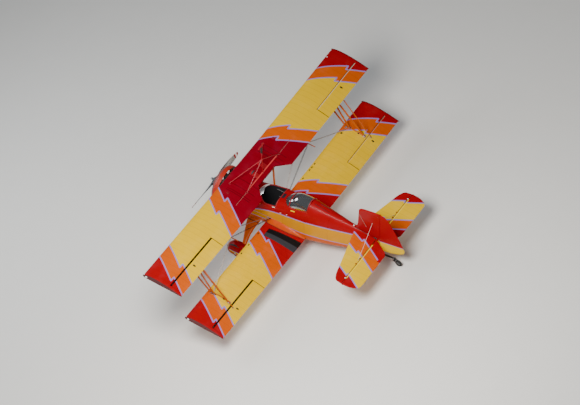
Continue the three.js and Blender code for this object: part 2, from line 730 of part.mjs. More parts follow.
function mainGear() {
  const parts = [
    ...pair('gear_leg', leg(), paint('orange')), ...pair('wheel_pant', pant(), paint('red'))];
  for (const [hand, side] of [['left', 1], ['right', -1]]) {
    const wheel = piece(`wheel_${hand}`, wheelGeometry(WHEEL), paint('rubber', 0.9));
    wheel.position.set(side * TRACK / 2, WHEEL.y, WHEEL.z);
    parts.push(wheel);
  }
  return parts;
}

function tailGear() {
  const { crossZ, collar, crown, from, top, foot } = SWIVEL;
  const spring = cut(loft(TAIL_SPRING.map(([y, z, width, depth]) =>
    ring(width / 2, z + depth / 2, z, z - depth / 2, 4, 4, y))), ...hullSeat());
  const up = new THREE.Vector3(0, -Math.sin(tilt), Math.cos(tilt));
  const middle = new THREE.Vector3(0, SWIVEL.y, SWIVEL.z);
  const at = (height) => middle.clone().addScaledVector(up, height).toArray();
  const post = union(spring, rod(at(from), at(top), collar, 16));
  const { y, z, width } = TAIL_WHEEL;
  const half = width / 2 + RUNNING;
  const bridge = new THREE.BoxGeometry(2 * half + 24, 80, 24).translate(0, SWIVEL.y + 10, crossZ);
  const arms = [1, -1].map((side) =>
    bar([side * (half + 6), SWIVEL.y, crossZ], [side * (half + 6), y, z], 40, 12, 10));
  const axle = rod([-half - 12, y, z], [half + 12, y, z], TAIL_WHEEL.bore - 1, 16);
  const fork = union(rod(at(from - SEAT), at(foot), crown, 16), bridge, ...arms, axle);
  const wheel = piece('tail_wheel', wheelGeometry(TAIL_WHEEL), paint('rubber', 0.9));
  wheel.position.set(0, y, z);
  return [piece('tail_spring', post, paint('black')), piece('tail_fork', fork, paint('black')), wheel];
}

// Tail

// A flat surface with rounded edges, drawn inside its outline by the size of the rounding.
const EDGE = { bevelEnabled: true, bevelSize: 20, bevelThickness: 20, bevelOffset: -20, bevelSegments: 2 };

function outline(rows) {
  const shape = new THREE.Shape();
  shape.moveTo(...rows[0]);
  for (const row of rows.slice(1)) {
    if (row.length > 2) shape.quadraticCurveTo(...row);
    else shape.lineTo(...row);
  }
  return shape;
}

// Three small straps on a fixed edge reach back to the round nose of the surface behind it.
function fin() {
  const half = TAIL_THICKNESS / 2;
  const blade = alongX(outline(FIN), -half + 20, half - 20, EDGE);
  const nose = rod([0, RUDDER_HINGE_Y, -1100], [0, RUDDER_HINGE_Y, 900], half + SEAT, 28);
  const straps = FIN_STRAPS.map((z) => new THREE.BoxGeometry(STRAP.thin, STRAP.long, STRAP.wide)
    .translate(0, RUDDER_HINGE_Y - half - 40, z));
  return piece('fin', cut(union(blade, ...straps), nose, ...hullSeat()), paint('red'));
}

function rudder() {
  const half = TAIL_THICKNESS / 2;
  const blade = alongX(outline(RUDDER), -half + 20, half - 20, EDGE);
  const ahead = new THREE.BoxGeometry(200, 200, 3000).translate(0, RUDDER_HINGE_Y - 100, 0);
  const nose = rod([0, RUDDER_HINGE_Y, -1008], [0, RUDDER_HINGE_Y, 738], half, 28);
  return piece('rudder', union(cut(blade, ahead), nose), paint('red'));
}

// Left half of the tailplane.
function stabilizer() {
  const half = TAIL_THICKNESS / 2;
  const blade = upward(outline(STABILIZER), -half + 20, half - 20, EDGE);
  const straps = STABILIZER_STRAPS.map((x) =>
    new THREE.BoxGeometry(STRAP.wide, STRAP.long, STRAP.thin)
      .translate(x, ELEVATOR_HINGE_Y - half - 40, 0));
  const nose = rod([0, ELEVATOR_HINGE_Y, 0], [2300, ELEVATOR_HINGE_Y, 0], half + SEAT, 28);
  const whole = cut(union(blade, ...straps), nose).translate(0, 0, STABILIZER_Z);
  const finSeat = new THREE.BoxGeometry(2 * (half + SEAT), 3000, 3000).translate(0, 5000, 0);
  return cut(whole, ...hullSeat(), finSeat);
}

function elevator() {
  const half = TAIL_THICKNESS / 2;
  const blade = upward(outline(ELEVATOR), -half + 20, half - 20, EDGE);
  const ahead = new THREE.BoxGeometry(6000, 200, 200).translate(0, ELEVATOR_HINGE_Y - 100, 0);
  const nose = rod([97, ELEVATOR_HINGE_Y, 0], [TAIL_HALF_SPAN - 2, ELEVATOR_HINGE_Y, 0], half, 28);
  const left = union(cut(blade, ahead), nose);
  const tube = rod([-150, ELEVATOR_HINGE_Y, 0], [150, ELEVATOR_HINGE_Y, 0], TORQUE_TUBE_RADIUS, 16);
  const both = union(left, mirrored(left), tube).translate(0, 0, STABILIZER_Z);
  return piece('elevator', both, paint('yellow'));
}

function tail() {
  const half = TAIL_THICKNESS / 2;
  const { foot, head, chord, thickness } = TAIL_STRUT;
  const under = upward(outline(STABILIZER), -half - SEAT, half).translate(0, 0, STABILIZER_Z);
  const strut = cut(bar(foot, head, chord, thickness, 10), under, ...hullSeat());
  return [fin(), rudder(), ...pair('stabilizer', stabilizer(), paint('yellow')), elevator(),
    ...pair('tail_strut', strut, paint('orange'))];
}

// Canopy

function domeRing([y, halfWidth, sill, crown], inset) {
  const half = halfWidth - inset;
  return Array.from({ length: DOME_POINTS + 1 }, (_, i) => {
    const turn = Math.PI * i / DOME_POINTS;
    return new THREE.Vector3(half * Math.cos(turn), y, sill + (crown - inset - sill) * Math.sin(turn));
  });
}

const dome = (inset) => loft(DOME.map((row) => domeRing(row, inset)));

function domeShell(thickness, out = 0) {
  const inner = dome(thickness - out);
  const last = DOME[DOME.length - 1];
  const mouth = loft([domeRing(last, thickness - out),
    domeRing([last[0] + 60, ...last.slice(1)], thickness - out)]);
  return cut(dome(-out), inner, mouth);
}

// Slices of the dome between two stations, kept above the fuselage's deck.
function slice(fromY, toY) {
  return new THREE.BoxGeometry(1200, toY - fromY, 1200).translate(0, (fromY + toY) / 2, -600);
}

function canopy() {
  const last = DOME[DOME.length - 1][0];
  const deck = hullSeat();
  const shell = cut(domeShell(GLASS + 10, 5), ...deck);
  const raised = deck.map((g) => g.clone().translate(0, 0, CANOPY_EDGE));
  const body = common(shell, slice(BOW_Y, last));
  const inner = cut(common(dome(-60), slice(BOW_Y + CANOPY_EDGE, last - CANOPY_EDGE)), ...raised);
  const frame = cut(body, inner);
  const pane = cut(common(domeShell(GLASS),
    slice(BOW_Y + CANOPY_EDGE + SEAT, last - CANOPY_EDGE - SEAT)),
  ...raised.map((g) => g.clone().translate(0, 0, SEAT)));
  const screen = cut(common(domeShell(GLASS), slice(DOME[0][0] - 10, BOW_Y - 1.5 * RUNNING)), ...deck);
  return [piece('canopy_frame', frame, paint('red')),
    piece('canopy_glass', pane, paint('glass', 0.05)),
    piece('windscreen_pilot', screen, paint('glass', 0.05))];
}

// A low screen ahead of the forward cockpit: part of a cone that leans aft, narrowed in plan.
function frontScreen() {
  const { y, baseRadius, baseZ, topRadius, topZ, narrow, reach, sheet, sides } = FRONT_SCREEN;
  const cone = turned([
    [baseRadius, baseZ], [topRadius, topZ], [topRadius - sheet, topZ],
    [baseRadius - sheet, baseZ], [baseRadius, baseZ],
  ], sides).rotateX(Math.PI / 2).scale(narrow, 1, 1).translate(0, y, 0);
  const far = 2 * baseRadius;
  const aside = far * Math.tan(radians(reach));
  const ahead = upward(polygon([[0, y], [-aside, y - far], [aside, y - far]]), baseZ - 1, topZ + 1);
  return piece('windscreen_front', cut(common(cone, ahead), ...hullSeat()), paint('glass', 0.05));
}

function cockpitFittings() {
  const { noseY, rearY, halfWidth, floor } = PIT.rear;
  const { width, depth, pan, height, backHeight, backDepth } = PILOT_SEAT;
  const legHeight = height - SEAT_LEGS.shorter;
  const middle = rearY - 260;
  const seat = union(
    new THREE.BoxGeometry(width, depth, pan).translate(0, middle, floor + height),
    new THREE.BoxGeometry(width, backDepth, backHeight)
      .translate(0, rearY - 80, floor + height + 280),
    new THREE.BoxGeometry(SEAT_LEGS.size, SEAT_LEGS.size, legHeight)
      .translate(0, middle, floor + legHeight / 2 + SEAT));
  const place = { noseY: noseY + SEAT, rearY, halfWidth: halfWidth - SEAT };
  const inPit = upward(pitShape(place), -1000, -600, { curveSegments: PIT.curve });
  const board = new THREE.BoxGeometry(2 * halfWidth, PANEL.thickness, PANEL.height)
    .translate(0, noseY + PANEL.behindNose, PANEL.z);
  const panel = common(board, inPit);
  return [piece('pilot_seat', seat, paint('leather', 0.7)),
    piece('instrument_panel', panel, paint('black', 0.6))];
}

// The frame of tubes on the upper wing's centre section: a post with a cross tube and foot plates,
// and four braces that run down to the section's corners.
function rack() {
  const { y, tube, plate } = RACK;
  const lean = radians(INCIDENCE);
  const top = (at) => centreRise + skin(at, 1) * Math.cos(lean) - at * Math.sin(lean);
  const low = top(y) + tube + SEAT + 2;
  const back = y - RACK.lean;
  const post = rod([0, y, low], [0, back, RACK.top], RACK.post, 12);
  const cross = rod([-RACK.crossHalf, y, low], [RACK.crossHalf, y, low], tube, 10);
  const headZ = RACK.top - RACK.post;
  const head = rod([-RACK.headHalf, back, headZ], [RACK.headHalf, back, headZ], RACK.post, 10);
  const length = plate.rear - plate.front;
  const fall = Math.atan2(top(plate.rear) - top(plate.front), length);
  const plates = [1, -1].map((side) =>
    new THREE.BoxGeometry(plate.width, length, plate.thickness).rotateX(fall)
      .translate(side * plate.x, (plate.front + plate.rear) / 2,
        (top(plate.front) + top(plate.rear)) / 2 + plate.rise));
  const braces = RACK.feet.flatMap(([x, at]) => [1, -1].map((side) =>
    rod([0, y - 8, RACK.braceTop], [side * x, at, top(at) - 20], RACK.brace, 8)));
  const frame = cut(union(post, cross, head, ...plates, ...braces), centreSeat(1));
  return piece('rider_rack', frame, paint('red'));
}

// The airframe's tilt when parked: the line from the main axles' floor to the tail wheel's.
const tilt = Math.atan2(
  (TAIL_WHEEL.z - TAIL_WHEEL.radius) - (WHEEL.z - WHEEL.radius), TAIL_WHEEL.y - WHEEL.y);

function build() {
  const airframe = new THREE.Group();
  airframe.add(fuselageFront(), fuselageRear(), ...nose(), ...wings(), ...interplaneStruts(),
    ...pushrods(), ...cabaneStruts(), ...stays(), ...mainGear(), ...tailGear(), ...tail(),
    ...canopy(), frontScreen(), ...cockpitFittings(), rack());
  airframe.rotation.x = -tilt;
  const aircraft = new THREE.Group();
  aircraft.add(airframe);
  aircraft.updateMatrixWorld(true);
  const box = new THREE.Box3().setFromObject(aircraft, true);
  airframe.position.y = -(box.min.y + box.max.y) / 2;
  airframe.position.z = -box.min.z;
  return aircraft;
}

export default build();
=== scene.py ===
# %% [markdown]
# # A stunt biplane, dressed around its solid model
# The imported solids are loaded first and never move. This notebook makes the skins, metal and
# paint that show, around those solids. Everything is drawn in the aircraft's own level frame,
# in metres: X to its left, Y aft and Z up, from the middle of the upper wing's leading edge.
# The aircraft is parked nose up, so one matrix turns each finished piece to where it stands.

# %% Load the solids
import json
import math
import bmesh
import bpy
from mathutils import Matrix, Vector


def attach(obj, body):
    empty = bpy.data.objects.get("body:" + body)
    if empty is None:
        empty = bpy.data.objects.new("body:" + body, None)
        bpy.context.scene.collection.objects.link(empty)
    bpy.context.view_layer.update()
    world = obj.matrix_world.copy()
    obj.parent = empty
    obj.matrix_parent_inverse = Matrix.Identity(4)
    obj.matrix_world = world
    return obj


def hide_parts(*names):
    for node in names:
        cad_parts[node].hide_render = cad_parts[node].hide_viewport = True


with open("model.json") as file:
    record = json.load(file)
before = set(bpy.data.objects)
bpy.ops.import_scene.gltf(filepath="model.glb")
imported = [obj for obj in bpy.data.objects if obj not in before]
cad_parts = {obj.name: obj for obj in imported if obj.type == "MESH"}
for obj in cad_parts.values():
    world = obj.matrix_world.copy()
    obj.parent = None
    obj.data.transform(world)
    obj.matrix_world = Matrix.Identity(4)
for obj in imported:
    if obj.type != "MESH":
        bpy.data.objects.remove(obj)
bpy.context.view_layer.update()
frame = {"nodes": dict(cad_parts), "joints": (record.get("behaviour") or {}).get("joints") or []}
print("solid nodes:", len(frame["nodes"]))
shift = Matrix.Translation


def roll(axis, angle):
    return Matrix.Rotation(angle, 4, axis)


def angles(count):
    """Even steps round a circle."""
    return [math.tau * k / count for k in range(count)]

# %% Find the parked attitude from two joints
# The propeller's axis points aft and the rudder's hinge points up, so their joints say how the
# aircraft stands and where its own origin is.
joints = {joint["name"]: joint for joint in frame["joints"]}
THRUST = Vector((0, -1.035, -1.540))
aft = Vector(joints["propeller_spin"]["axis"]).normalized()
up = Vector(joints["rudder_hinge"]["axis"]).normalized()
left = aft.cross(up).normalized()
turn = Matrix((left, aft, up)).transposed()
origin = Vector(joints["propeller_spin"]["pos_m"]) - turn @ THRUST
AIRFRAME = shift(origin) @ turn.to_4x4()
PARKED_TILT = math.atan2(-aft.z, aft.y)
print("nose up by", round(math.degrees(PARKED_TILT), 2), "degrees")

# %% [markdown]
# ## Camera, light and floor
# The photograph was taken with a long lens from high on the aircraft's left and behind. A long
# lens flattens depth, so the camera stands far off and its focal length is large. The light is
# one broad soft lamp with a bright room around it, so that paint keeps its own colours.

# %% Camera
SENSOR = 36.0
PICTURE_WIDTH = 580
FOCAL_PIXELS = 3757.6
EYE = Vector((61.791, 45.392, 92.334))
LOOKING = Vector((-0.515101, -0.362741, -0.776589))
RIGHT_HAND = Vector((-0.541684, 0.839933, -0.033037))

backward = -LOOKING.normalized()
sideways = RIGHT_HAND.normalized()
upward = backward.cross(sideways)
camera_turn = Matrix((sideways, upward, backward)).transposed().to_4x4()
camera = bpy.data.objects.new("camera", bpy.data.cameras.new("camera"))
camera.matrix_world = AIRFRAME @ shift(EYE) @ camera_turn
camera.data.sensor_width = SENSOR
camera.data.lens = FOCAL_PIXELS * SENSOR / PICTURE_WIDTH
camera.data.clip_end = 400
bpy.context.scene.collection.objects.link(camera)
bpy.context.scene.camera = camera
print("focal length:", round(camera.data.lens, 1), "mm")

# %% Soft lamps and a bright room
LAMPS = [
    # name, place, size, power, tint
    ("key_lamp", (10, 7, 17), 8.0, 5400, (1.0, 0.97, 0.92)),
    ("fill_lamp", (4, -16, 14), 10.0, 1700, (0.92, 0.96, 1.0)),
]
for name, place, size, power, tint in LAMPS:
    lamp = bpy.data.lights.new(name, "AREA")
    lamp.shape, lamp.size, lamp.energy, lamp.color = "DISK", size, power, tint
    holder = bpy.data.objects.new(name, lamp)
    holder.location = place
    holder.rotation_euler = (Vector((0, 0, 1)) - Vector(place)).to_track_quat("-Z", "Y").to_euler()
    bpy.context.scene.collection.objects.link(holder)
ROOM_TINT, ROOM_STRENGTH = (0.86, 0.90, 0.96, 1), 0.20
world = bpy.data.worlds.new("bright_room")
world.use_nodes = True
walls = world.node_tree.nodes["Background"].inputs
walls["Color"].default_value, walls["Strength"].default_value = ROOM_TINT, ROOM_STRENGTH
bpy.context.scene.world = world

# %% [markdown]
# ## How a material is written
# Each node is added by one function. The patterns are sums worked out over the surface, such as
# "how far is this point outboard of that line", so a small class lets them be written as plain
# arithmetic, and each sum then becomes Math nodes.

# %% Nodes, colours and fields
def add(tree, kind, inputs=None, **settings):
    """Adds one node, with its settings, its values and its links."""
    node = tree.nodes.new(kind)
    for name, value in settings.items():
        setattr(node, name, value)
    for socket, value in (inputs or {}).items():
        if isinstance(value, Field):
            value = value.socket
        if isinstance(value, bpy.types.NodeSocket):
            tree.links.new(value, node.inputs[socket])
        else:
            node.inputs[socket].default_value = value
    return node


def linear(hex_code):
    """A colour from the maker's sRGB code, as the linear values that a shader wants."""
    channels = [int(hex_code[i:i + 2], 16) / 255 for i in (0, 2, 4)]
    return (*[c / 12.92 if c <= 0.04045 else ((c + 0.055) / 1.055) ** 2.4 for c in channels], 1)


class Field:
    """A number that varies over a surface. Arithmetic on it adds Math nodes."""

    def __init__(self, tree, socket):
        self.tree, self.socket = tree, socket

    def math(self, operation, *others):
        values = dict(enumerate((self, *others)))
        return Field(self.tree, add(self.tree, "ShaderNodeMath", values, operation=operation).outputs[0])

    def __add__(self, other):
        return self.math("ADD", other)

    def __sub__(self, other):
        return self.math("SUBTRACT", other)

    def __mul__(self, other):
        return self.math("MULTIPLY", other)

    def size(self):
        return self.math("ABSOLUTE")

    def over(self, other):
        return self.math("GREATER_THAN", other)

    def under(self, other):
        return self.math("LESS_THAN", other)

    def least(self, other):
        return self.math("MINIMUM", other)

    def most(self, other):
        return self.math("MAXIMUM", other)

    def within(self, reach):
        return self.size().under(reach)

    def between(self, low, high):
        return self.over(low) * self.under(high)

    def near_multiple(self, pitch, reach):
        """1 within reach of each whole number of pitches, else 0."""
        return self.math("PINGPONG", pitch / 2).under(reach)


def blend(share, first, second):
    """First where share is 0 and second where it is 1."""
    values = {0: share, 6: first, 7: second}
    return add(share.tree, "ShaderNodeMix", values, data_type="RGBA").outputs[2]


def airframe_fields(tree):
    """X, Y and Z of the surface in the aircraft's level frame."""
    inverse = AIRFRAME.inverted()
    where = add(tree, "ShaderNodeTexCoord")
    level = add(tree, "ShaderNodeMapping", {
        "Vector": where.outputs["Object"], "Location": inverse.translation,
        "Rotation": inverse.to_euler()}, vector_type="POINT")
    split = add(tree, "ShaderNodeSeparateXYZ", {"Vector": level.outputs["Vector"]})
    return level.outputs["Vector"], [Field(tree, split.outputs[axis]) for axis in range(3)]


def clouds(tree, vector, millimetres, detail=3.0):
    """Soft noise whose lumps are about that many millimetres across, from 0 to 1."""
    node = add(tree, "ShaderNodeTexNoise", {
        "Vector": vector, "Scale": 1000 / millimetres, "Detail": detail, "Roughness": 0.55})
    return Field(tree, node.outputs["Fac"])


def new_material(name):
    material = bpy.data.materials.new(name)
    material.use_nodes = True
    material.node_tree.nodes.clear()
    return material, material.node_tree


def close_material(tree, shader):
    add(tree, "ShaderNodeOutputMaterial", {"Surface": shader.outputs[0]})

# %% [markdown]
# ## Aircraft enamel
# The skins are sprayed with a two-part gloss enamel in layers, then polished. What gives it
# away is a sharp clear reflection over a slightly uneven colour coat, fine orange peel, and
# road dust that dulls it in patches. All the painted skins share this, and differ in livery.

# %% Paint codes
RED = linear("98000C")
CRIMSON = linear("7E0018")
ORANGE = linear("C45200")
YELLOW = linear("DEB400")
GOLD = linear("CC8A00")
LAVENDER = linear("8E7FC0")
IVORY = linear("D9CDB4")
LAP_PALE = linear("C27A70")
WALKWAY = linear("121214")
WALKWAY_EDGE = linear("34353A")
MARK, MARK_STRENGTH = linear("2A1210"), 0.85
ORANGE_PEEL_MM, PEEL_DEPTH_MM, DUST_PATCH_MM = 9.0, 0.05, 420.0
DUST_LIGHTENS, DUST_DULLS, DUST_ROUGHENS, CLEAN_ROUGHNESS = 0.14, 0.10, 0.16, 0.26


def enamel(name, livery, marks=None, rises=None):
    """Gloss enamel: livery gives the colour, marks darken it and rises lift it in millimetres."""
    material, tree = new_material(name)
    vector, place = airframe_fields(tree)
    dust = clouds(tree, vector, DUST_PATCH_MM)
    fade = add(tree, "ShaderNodeHueSaturation", {
        "Value": dust * DUST_LIGHTENS + (1 - DUST_LIGHTENS / 2),
        "Saturation": dust * -DUST_DULLS + (1 + DUST_DULLS / 2), "Color": livery(*place)})
    colour = fade.outputs["Color"]
    if marks:
        colour = blend(marks(*place) * MARK_STRENGTH, colour, MARK)
    height = clouds(tree, vector, ORANGE_PEEL_MM, 1.0) * PEEL_DEPTH_MM
    if rises:
        height = height + rises(*place)
    bump = add(tree, "ShaderNodeBump", {"Height": height, "Strength": 1.0, "Distance": 0.001})
    shader = add(tree, "ShaderNodeBsdfPrincipled", {
        "Base Color": colour, "Roughness": dust * DUST_ROUGHENS + CLEAN_ROUGHNESS,
        "Normal": bump.outputs["Normal"], "IOR": 1.45, "Specular IOR Level": 0.10,
        "Coat Weight": 0.04, "Coat Roughness": 0.06})
    close_material(tree, shader)
    return material

# %% [markdown]
# ## The livery
# Every wing and tail surface carries the same idea: bands that sweep outboard as they go aft,
# with one step back in each border, like a drawn bolt of lightning, and a lavender pinstripe
# along it. A border is a function of how far aft the point is, so one function draws them all.

# %% Band borders
PINSTRIPE, SLANT_WIDENS = 0.021, 1.25


def border(aft_of, start, front_slope, step_at, step_back, rear_slope):
    """How far outboard a band's border lies, as a field, for a point that far aft."""
    front = aft_of.least(step_at) * front_slope + start
    rear = (aft_of - step_at).most(0) * rear_slope
    return front + rear - aft_of.over(step_at) * step_back


def banded(across, aft_of, first, borders):
    """Colours across the span: first at the root, then one more outboard of each border."""
    colour, stripes = first, None
    outboard, on_left = across.size(), across.over(0)
    for start, start_left, front_slope, step_at, step_back, rear_slope, beyond in borders:
        start = on_left * (start_left - start) + start
        offset = outboard - border(aft_of, start, front_slope, step_at, step_back, rear_slope)
        colour = blend(offset.over(0), colour, beyond)
        at_step = outboard - start - step_at * front_slope
        across_step = (aft_of - step_at).within(PINSTRIPE)
        within = at_step.between(-step_back, 0)
        stripe = offset.within(PINSTRIPE * SLANT_WIDENS).most(across_step * within)
        stripes = stripe if stripes is None else stripes.most(stripe)
    return blend(stripes, colour, LAVENDER)


UPPER_BORDERS = [
    # start on the right, on the left, slope ahead of the step, step at, step back, slope behind,
    # colour beyond
    (1.05, 1.245, 0.81, 0.53, 0.175, 0.675, ORANGE),
    (1.58, 1.777, 0.81, 0.60, 0.175, 0.675, YELLOW),
    (3.92, 4.03, 0.74, 0.815, 0.17, 0.68, ORANGE),
    (4.50, 4.58, 0.73, 0.87, 0.17, 0.66, RED),
]
LOWER_BORDERS = [
    (0.80, 0.987, 0.66, 0.52, 0.12, 0.67, ORANGE),
    (1.30, 1.558, 0.69, 0.58, 0.13, 0.65, YELLOW),
    (3.71, 3.81, 0.66, 0.81, 0.145, 0.65, ORANGE),
    (4.27, 4.33, 0.68, 0.87, 0.155, 0.67, RED),
]
TAIL_BORDERS = [
    (0.14, 0.14, 0.45, 0.46, 0.09, 0.576, ORANGE),
    (0.55, 0.55, 0.53, 0.55, 0.10, 0.58, YELLOW),
    (1.34, 1.34, 0.55, 0.76, 0.09, 0.60, RED),
]

# %% [markdown]
# ## How a piece is shaped
# Skins are stretched over rows of stations, as a real wing is over its ribs: Blender's grid
# operator makes the faces, and each vertex is then put on its station. Turned pieces are a
# profile that is spun, and rods and bolts start from the cone operator.

# %% Shaping helpers
def skin_over(bm, rows, closed=True):
    """Covers rows of points with a grid. Closed rows join their ends, and open mouths are shut."""
    across = len(rows[0]) + (1 if closed else 0)
    made = bmesh.ops.create_grid(bm, x_segments=across - 1, y_segments=len(rows) - 1, size=1)
    for index, vertex in enumerate(made["verts"]):
        row, column = divmod(index, across)
        vertex.co = rows[row][column % len(rows[0])]
    bmesh.ops.remove_doubles(bm, verts=made["verts"], dist=1e-6)
    if closed:
        kept = [v for v in made["verts"] if v.is_valid]
        rim = {e for v in kept for e in v.link_edges if e.is_boundary}
        bmesh.ops.holes_fill(bm, edges=list(rim), sides=0)


def turned(bm, profile, place, sides=32):
    """Spins a profile of (radius, height) points about Z, then puts it in its place."""
    verts = [bm.verts.new((r, 0, h)) for r, h in profile]
    edges = [bm.edges.new(pair) for pair in zip(verts, verts[1:])]
    spun = bmesh.ops.spin(bm, geom=verts + edges, axis=(0, 0, 1), cent=(0, 0, 0),
                          angle=math.tau, steps=sides, use_merge=True)
    seen = {e for e in spun["geom_last"] if isinstance(e, bmesh.types.BMVert)} | set(verts)
    body = set()
    while seen:
        vertex = seen.pop()
        body.add(vertex)
        seen |= {e.other_vert(vertex) for e in vertex.link_edges} - body
    bmesh.ops.transform(bm, matrix=place, verts=list(body))


HERE = Matrix.Identity(4)


def facing(direction):
    """A turn that lays Z along a direction."""
    return direction.to_track_quat("Z", "Y").to_matrix().to_4x4()


def rod(bm, start, end, radius, end_radius=None, sides=12, place=HERE):
    """A round bar or a cone between two points of a place."""
    start, end = place @ Vector(start), place @ Vector(end)
    bmesh.ops.create_cone(bm, cap_ends=True, segments=sides, radius1=radius,
                          radius2=end_radius or radius, depth=(end - start).length,
                          matrix=shift((start + end) / 2) @ facing(end - start))


def block(bm, centre, size, place=HERE, bevel=0.0, segments=2):
    """A box with softened edges, set square to a place."""
    stretch = Matrix.Diagonal((*size, 1))
    verts = bmesh.ops.create_cube(bm, size=1, matrix=place @ shift(centre) @ stretch)["verts"]
    if bevel:
        edges = list({e for v in verts for e in v.link_edges})
        bmesh.ops.bevel(bm, geom=edges, offset=bevel, offset_type="OFFSET", segments=segments,
                        profile=0.5, affect="EDGES", material=-1, clamp_overlap=True)


def placed(place, points):
    return [place @ Vector(p) for p in points]


def tube(bm, points, radius, sides=10, closed=False, flat=1.0):
    """A round tube along a route, or an oval one where flat is not 1."""
    route = [Vector(p) for p in points]
    rows, count, reference = [], len(route), Vector((0.123, 0.456, 0.88))
    for i, point in enumerate(route):
        ahead = route[(i + 1) % count] if closed else route[min(i + 1, count - 1)]
        behind = route[i - 1] if closed or i else route[0]
        tangent = (ahead - behind).normalized()
        side = tangent.cross(reference).normalized()
        reference = side.cross(tangent)
        rows.append([point + radius * (side * math.cos(a) + reference * flat * math.sin(a))
                     for a in angles(sides)])
    if closed:
        rows.append(rows[0])
    skin_over(bm, rows)


def publish(name, bm, finish, replaces=(), body="airframe", sharp=35, inner=None,
            is_inner=None):
    """Turns a finished bmesh into a piece in the parked frame, riding on its body."""
    bmesh.ops.remove_doubles(bm, verts=bm.verts, dist=1e-5)
    bmesh.ops.dissolve_degenerate(bm, dist=1e-6, edges=bm.edges)
    bmesh.ops.recalc_face_normals(bm, faces=bm.faces)
    if is_inner:
        for face in bm.faces:
            face.material_index = int(is_inner(face.calc_center_median()))
    bmesh.ops.transform(bm, matrix=AIRFRAME, verts=bm.verts)
    mesh = bpy.data.meshes.new(name)
    bm.to_mesh(mesh)
    bm.free()
    mesh.shade_smooth()
    mesh.set_sharp_from_angle(angle=math.radians(sharp))
    mesh.materials.append(finish)
    if inner:
        mesh.materials.append(inner)
    piece = bpy.data.objects.new(name, mesh)
    bpy.context.scene.collection.objects.link(piece)
    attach(piece, body)
    if replaces:
        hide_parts(*replaces)
    print(f"{name}: {len(mesh.polygons)} faces on {body}")
    return piece


HANDS = [("left", 1), ("right", -1)]

# %% [markdown]
# ## Wings
# Both planes share one section and one chord. The real skin is cloth and thin metal over ribs,
# so it sinks a little between them, and a tape covers each rib's stitching. The panels are
# stretched over two stations a rib, one on it and one in the hollow beside it.

# %% The wing section
CHORD = 1.420
THICKNESS, CAMBER, CAMBER_AT = 0.12, 0.035, 0.4
INCIDENCE, DIHEDRAL = math.radians(5), math.radians(1.5)
RIB_PITCH, HOLLOW, FIRM_NOSE = 0.205, 0.0026, 0.14
HINGE, COVE = 0.7 * CHORD, 0.008
EDGE_HALF = 0.0006
WINGS = {
    "upper": {"inner": 0.9703, "tip": 5.475, "aileron": (3.100, 5.370), "at": (0, 0)},
    "lower": {"inner": 0.380, "tip": 5.210, "aileron": (2.830, 5.100), "at": (1.297, -1.574)},
}


def wing_skin(y, side):
    """Height of the skin above the chord line: side 1 is the top and -1 the underside."""
    s = min(max(y / CHORD, 0), 1)
    half = 5 * THICKNESS * (0.2969 * math.sqrt(s) - 0.126 * s - 0.3516 * s ** 2
                            + 0.2843 * s ** 3 - 0.1015 * s ** 4)
    part = CAMBER_AT if s < CAMBER_AT else 1 - CAMBER_AT
    bow = CAMBER / part ** 2 * (part ** 2 - (s - CAMBER_AT) ** 2)
    return CHORD * (bow + side * half)


def middle_of(y):
    return (wing_skin(y, 1) + wing_skin(y, -1)) / 2


def half_of(y):
    return (wing_skin(y, 1) - wing_skin(y, -1)) / 2


HINGE_Z, NOSE_RADIUS = middle_of(HINGE), half_of(HINGE)


def wing_place(plane, side):
    y, z = WINGS[plane]["at"]
    return shift((0, y, z)) @ roll("Y", -DIHEDRAL * side) @ roll("X", -INCIDENCE)


def section_row(x, front=0.0, back=CHORD, sink=0.0, squeeze=1.0):
    """One rib's outline, from the back edge over the top to the nose and back underneath."""
    steps = [(1 + math.cos(math.pi * i / 22)) / 2 for i in range(23)]
    top = [front + (CHORD - front) * s for s in steps]
    outline = [(y, 1) for y in top] + [(y, -1) for y in reversed(top[:-1])][:-1]
    row = []
    for y, side in outline:
        centre = middle_of(y)
        half = max(half_of(y) - sink * (y > FIRM_NOSE), EDGE_HALF)
        if y > back:
            half = (CHORD - y) / (CHORD - back) * half_of(back)
            y, centre = back, middle_of(back)
        row.append(Vector((x, y, centre + side * half * squeeze)))
    return row


def stations(start, end):
    """Ribs a pitch apart between two places, with the hollow half way: (x, sink)."""
    bays = max(1, round((end - start) / RIB_PITCH))
    return [(start + (end - start) * i / (2 * bays), HOLLOW * (i % 2)) for i in range(2 * bays + 1)]


def to_hand(rows, side, place):
    return [[place @ Vector((p.x * side, p.y, p.z)) for p in row] for row in rows]


def wing_rows(inner, tip, aileron):
    """A panel's stations from root to tip, with the back cut away in front of the aileron."""
    cut = HINGE - NOSE_RADIUS - COVE
    start, end = aileron[0] - COVE, aileron[1] + COVE
    rows = [section_row(x, 0, CHORD, sink) for x, sink in stations(inner, start)]
    rows += [section_row(x, 0, cut, sink) for x, sink in stations(start, end)]
    rows += [section_row(x) for x in (end, tip - 0.09)]
    rows += [section_row(tip - 0.03, 0.03), section_row(tip - 0.008, 0.07, CHORD, 0, 0.93),
             section_row(tip, 0.10, CHORD, 0, 0.7)]
    return rows


def aileron_rows(start, end):
    """The aileron's stations: flat skins behind the hinge and a round nose about it."""
    rows = []
    for x, sink in stations(start, end):
        back = [HINGE + (CHORD - HINGE) * i / 9 for i in range(10)]
        thin = [max(half_of(y) - sink * (y > HINGE + 0.06), EDGE_HALF) for y in back]
        middle = [middle_of(y) for y in back]
        top = [Vector((x, y, m + t)) for y, m, t in zip(back, middle, thin)]
        under = [Vector((x, y, m - t)) for y, m, t in zip(back, middle, thin)]
        nose = [Vector((x, HINGE - NOSE_RADIUS * math.sin(a), HINGE_Z + NOSE_RADIUS * math.cos(a)))
                for a in [math.pi * k / 10 for k in range(1, 10)]]
        rows.append(top[::-1] + nose + under)
    return rows

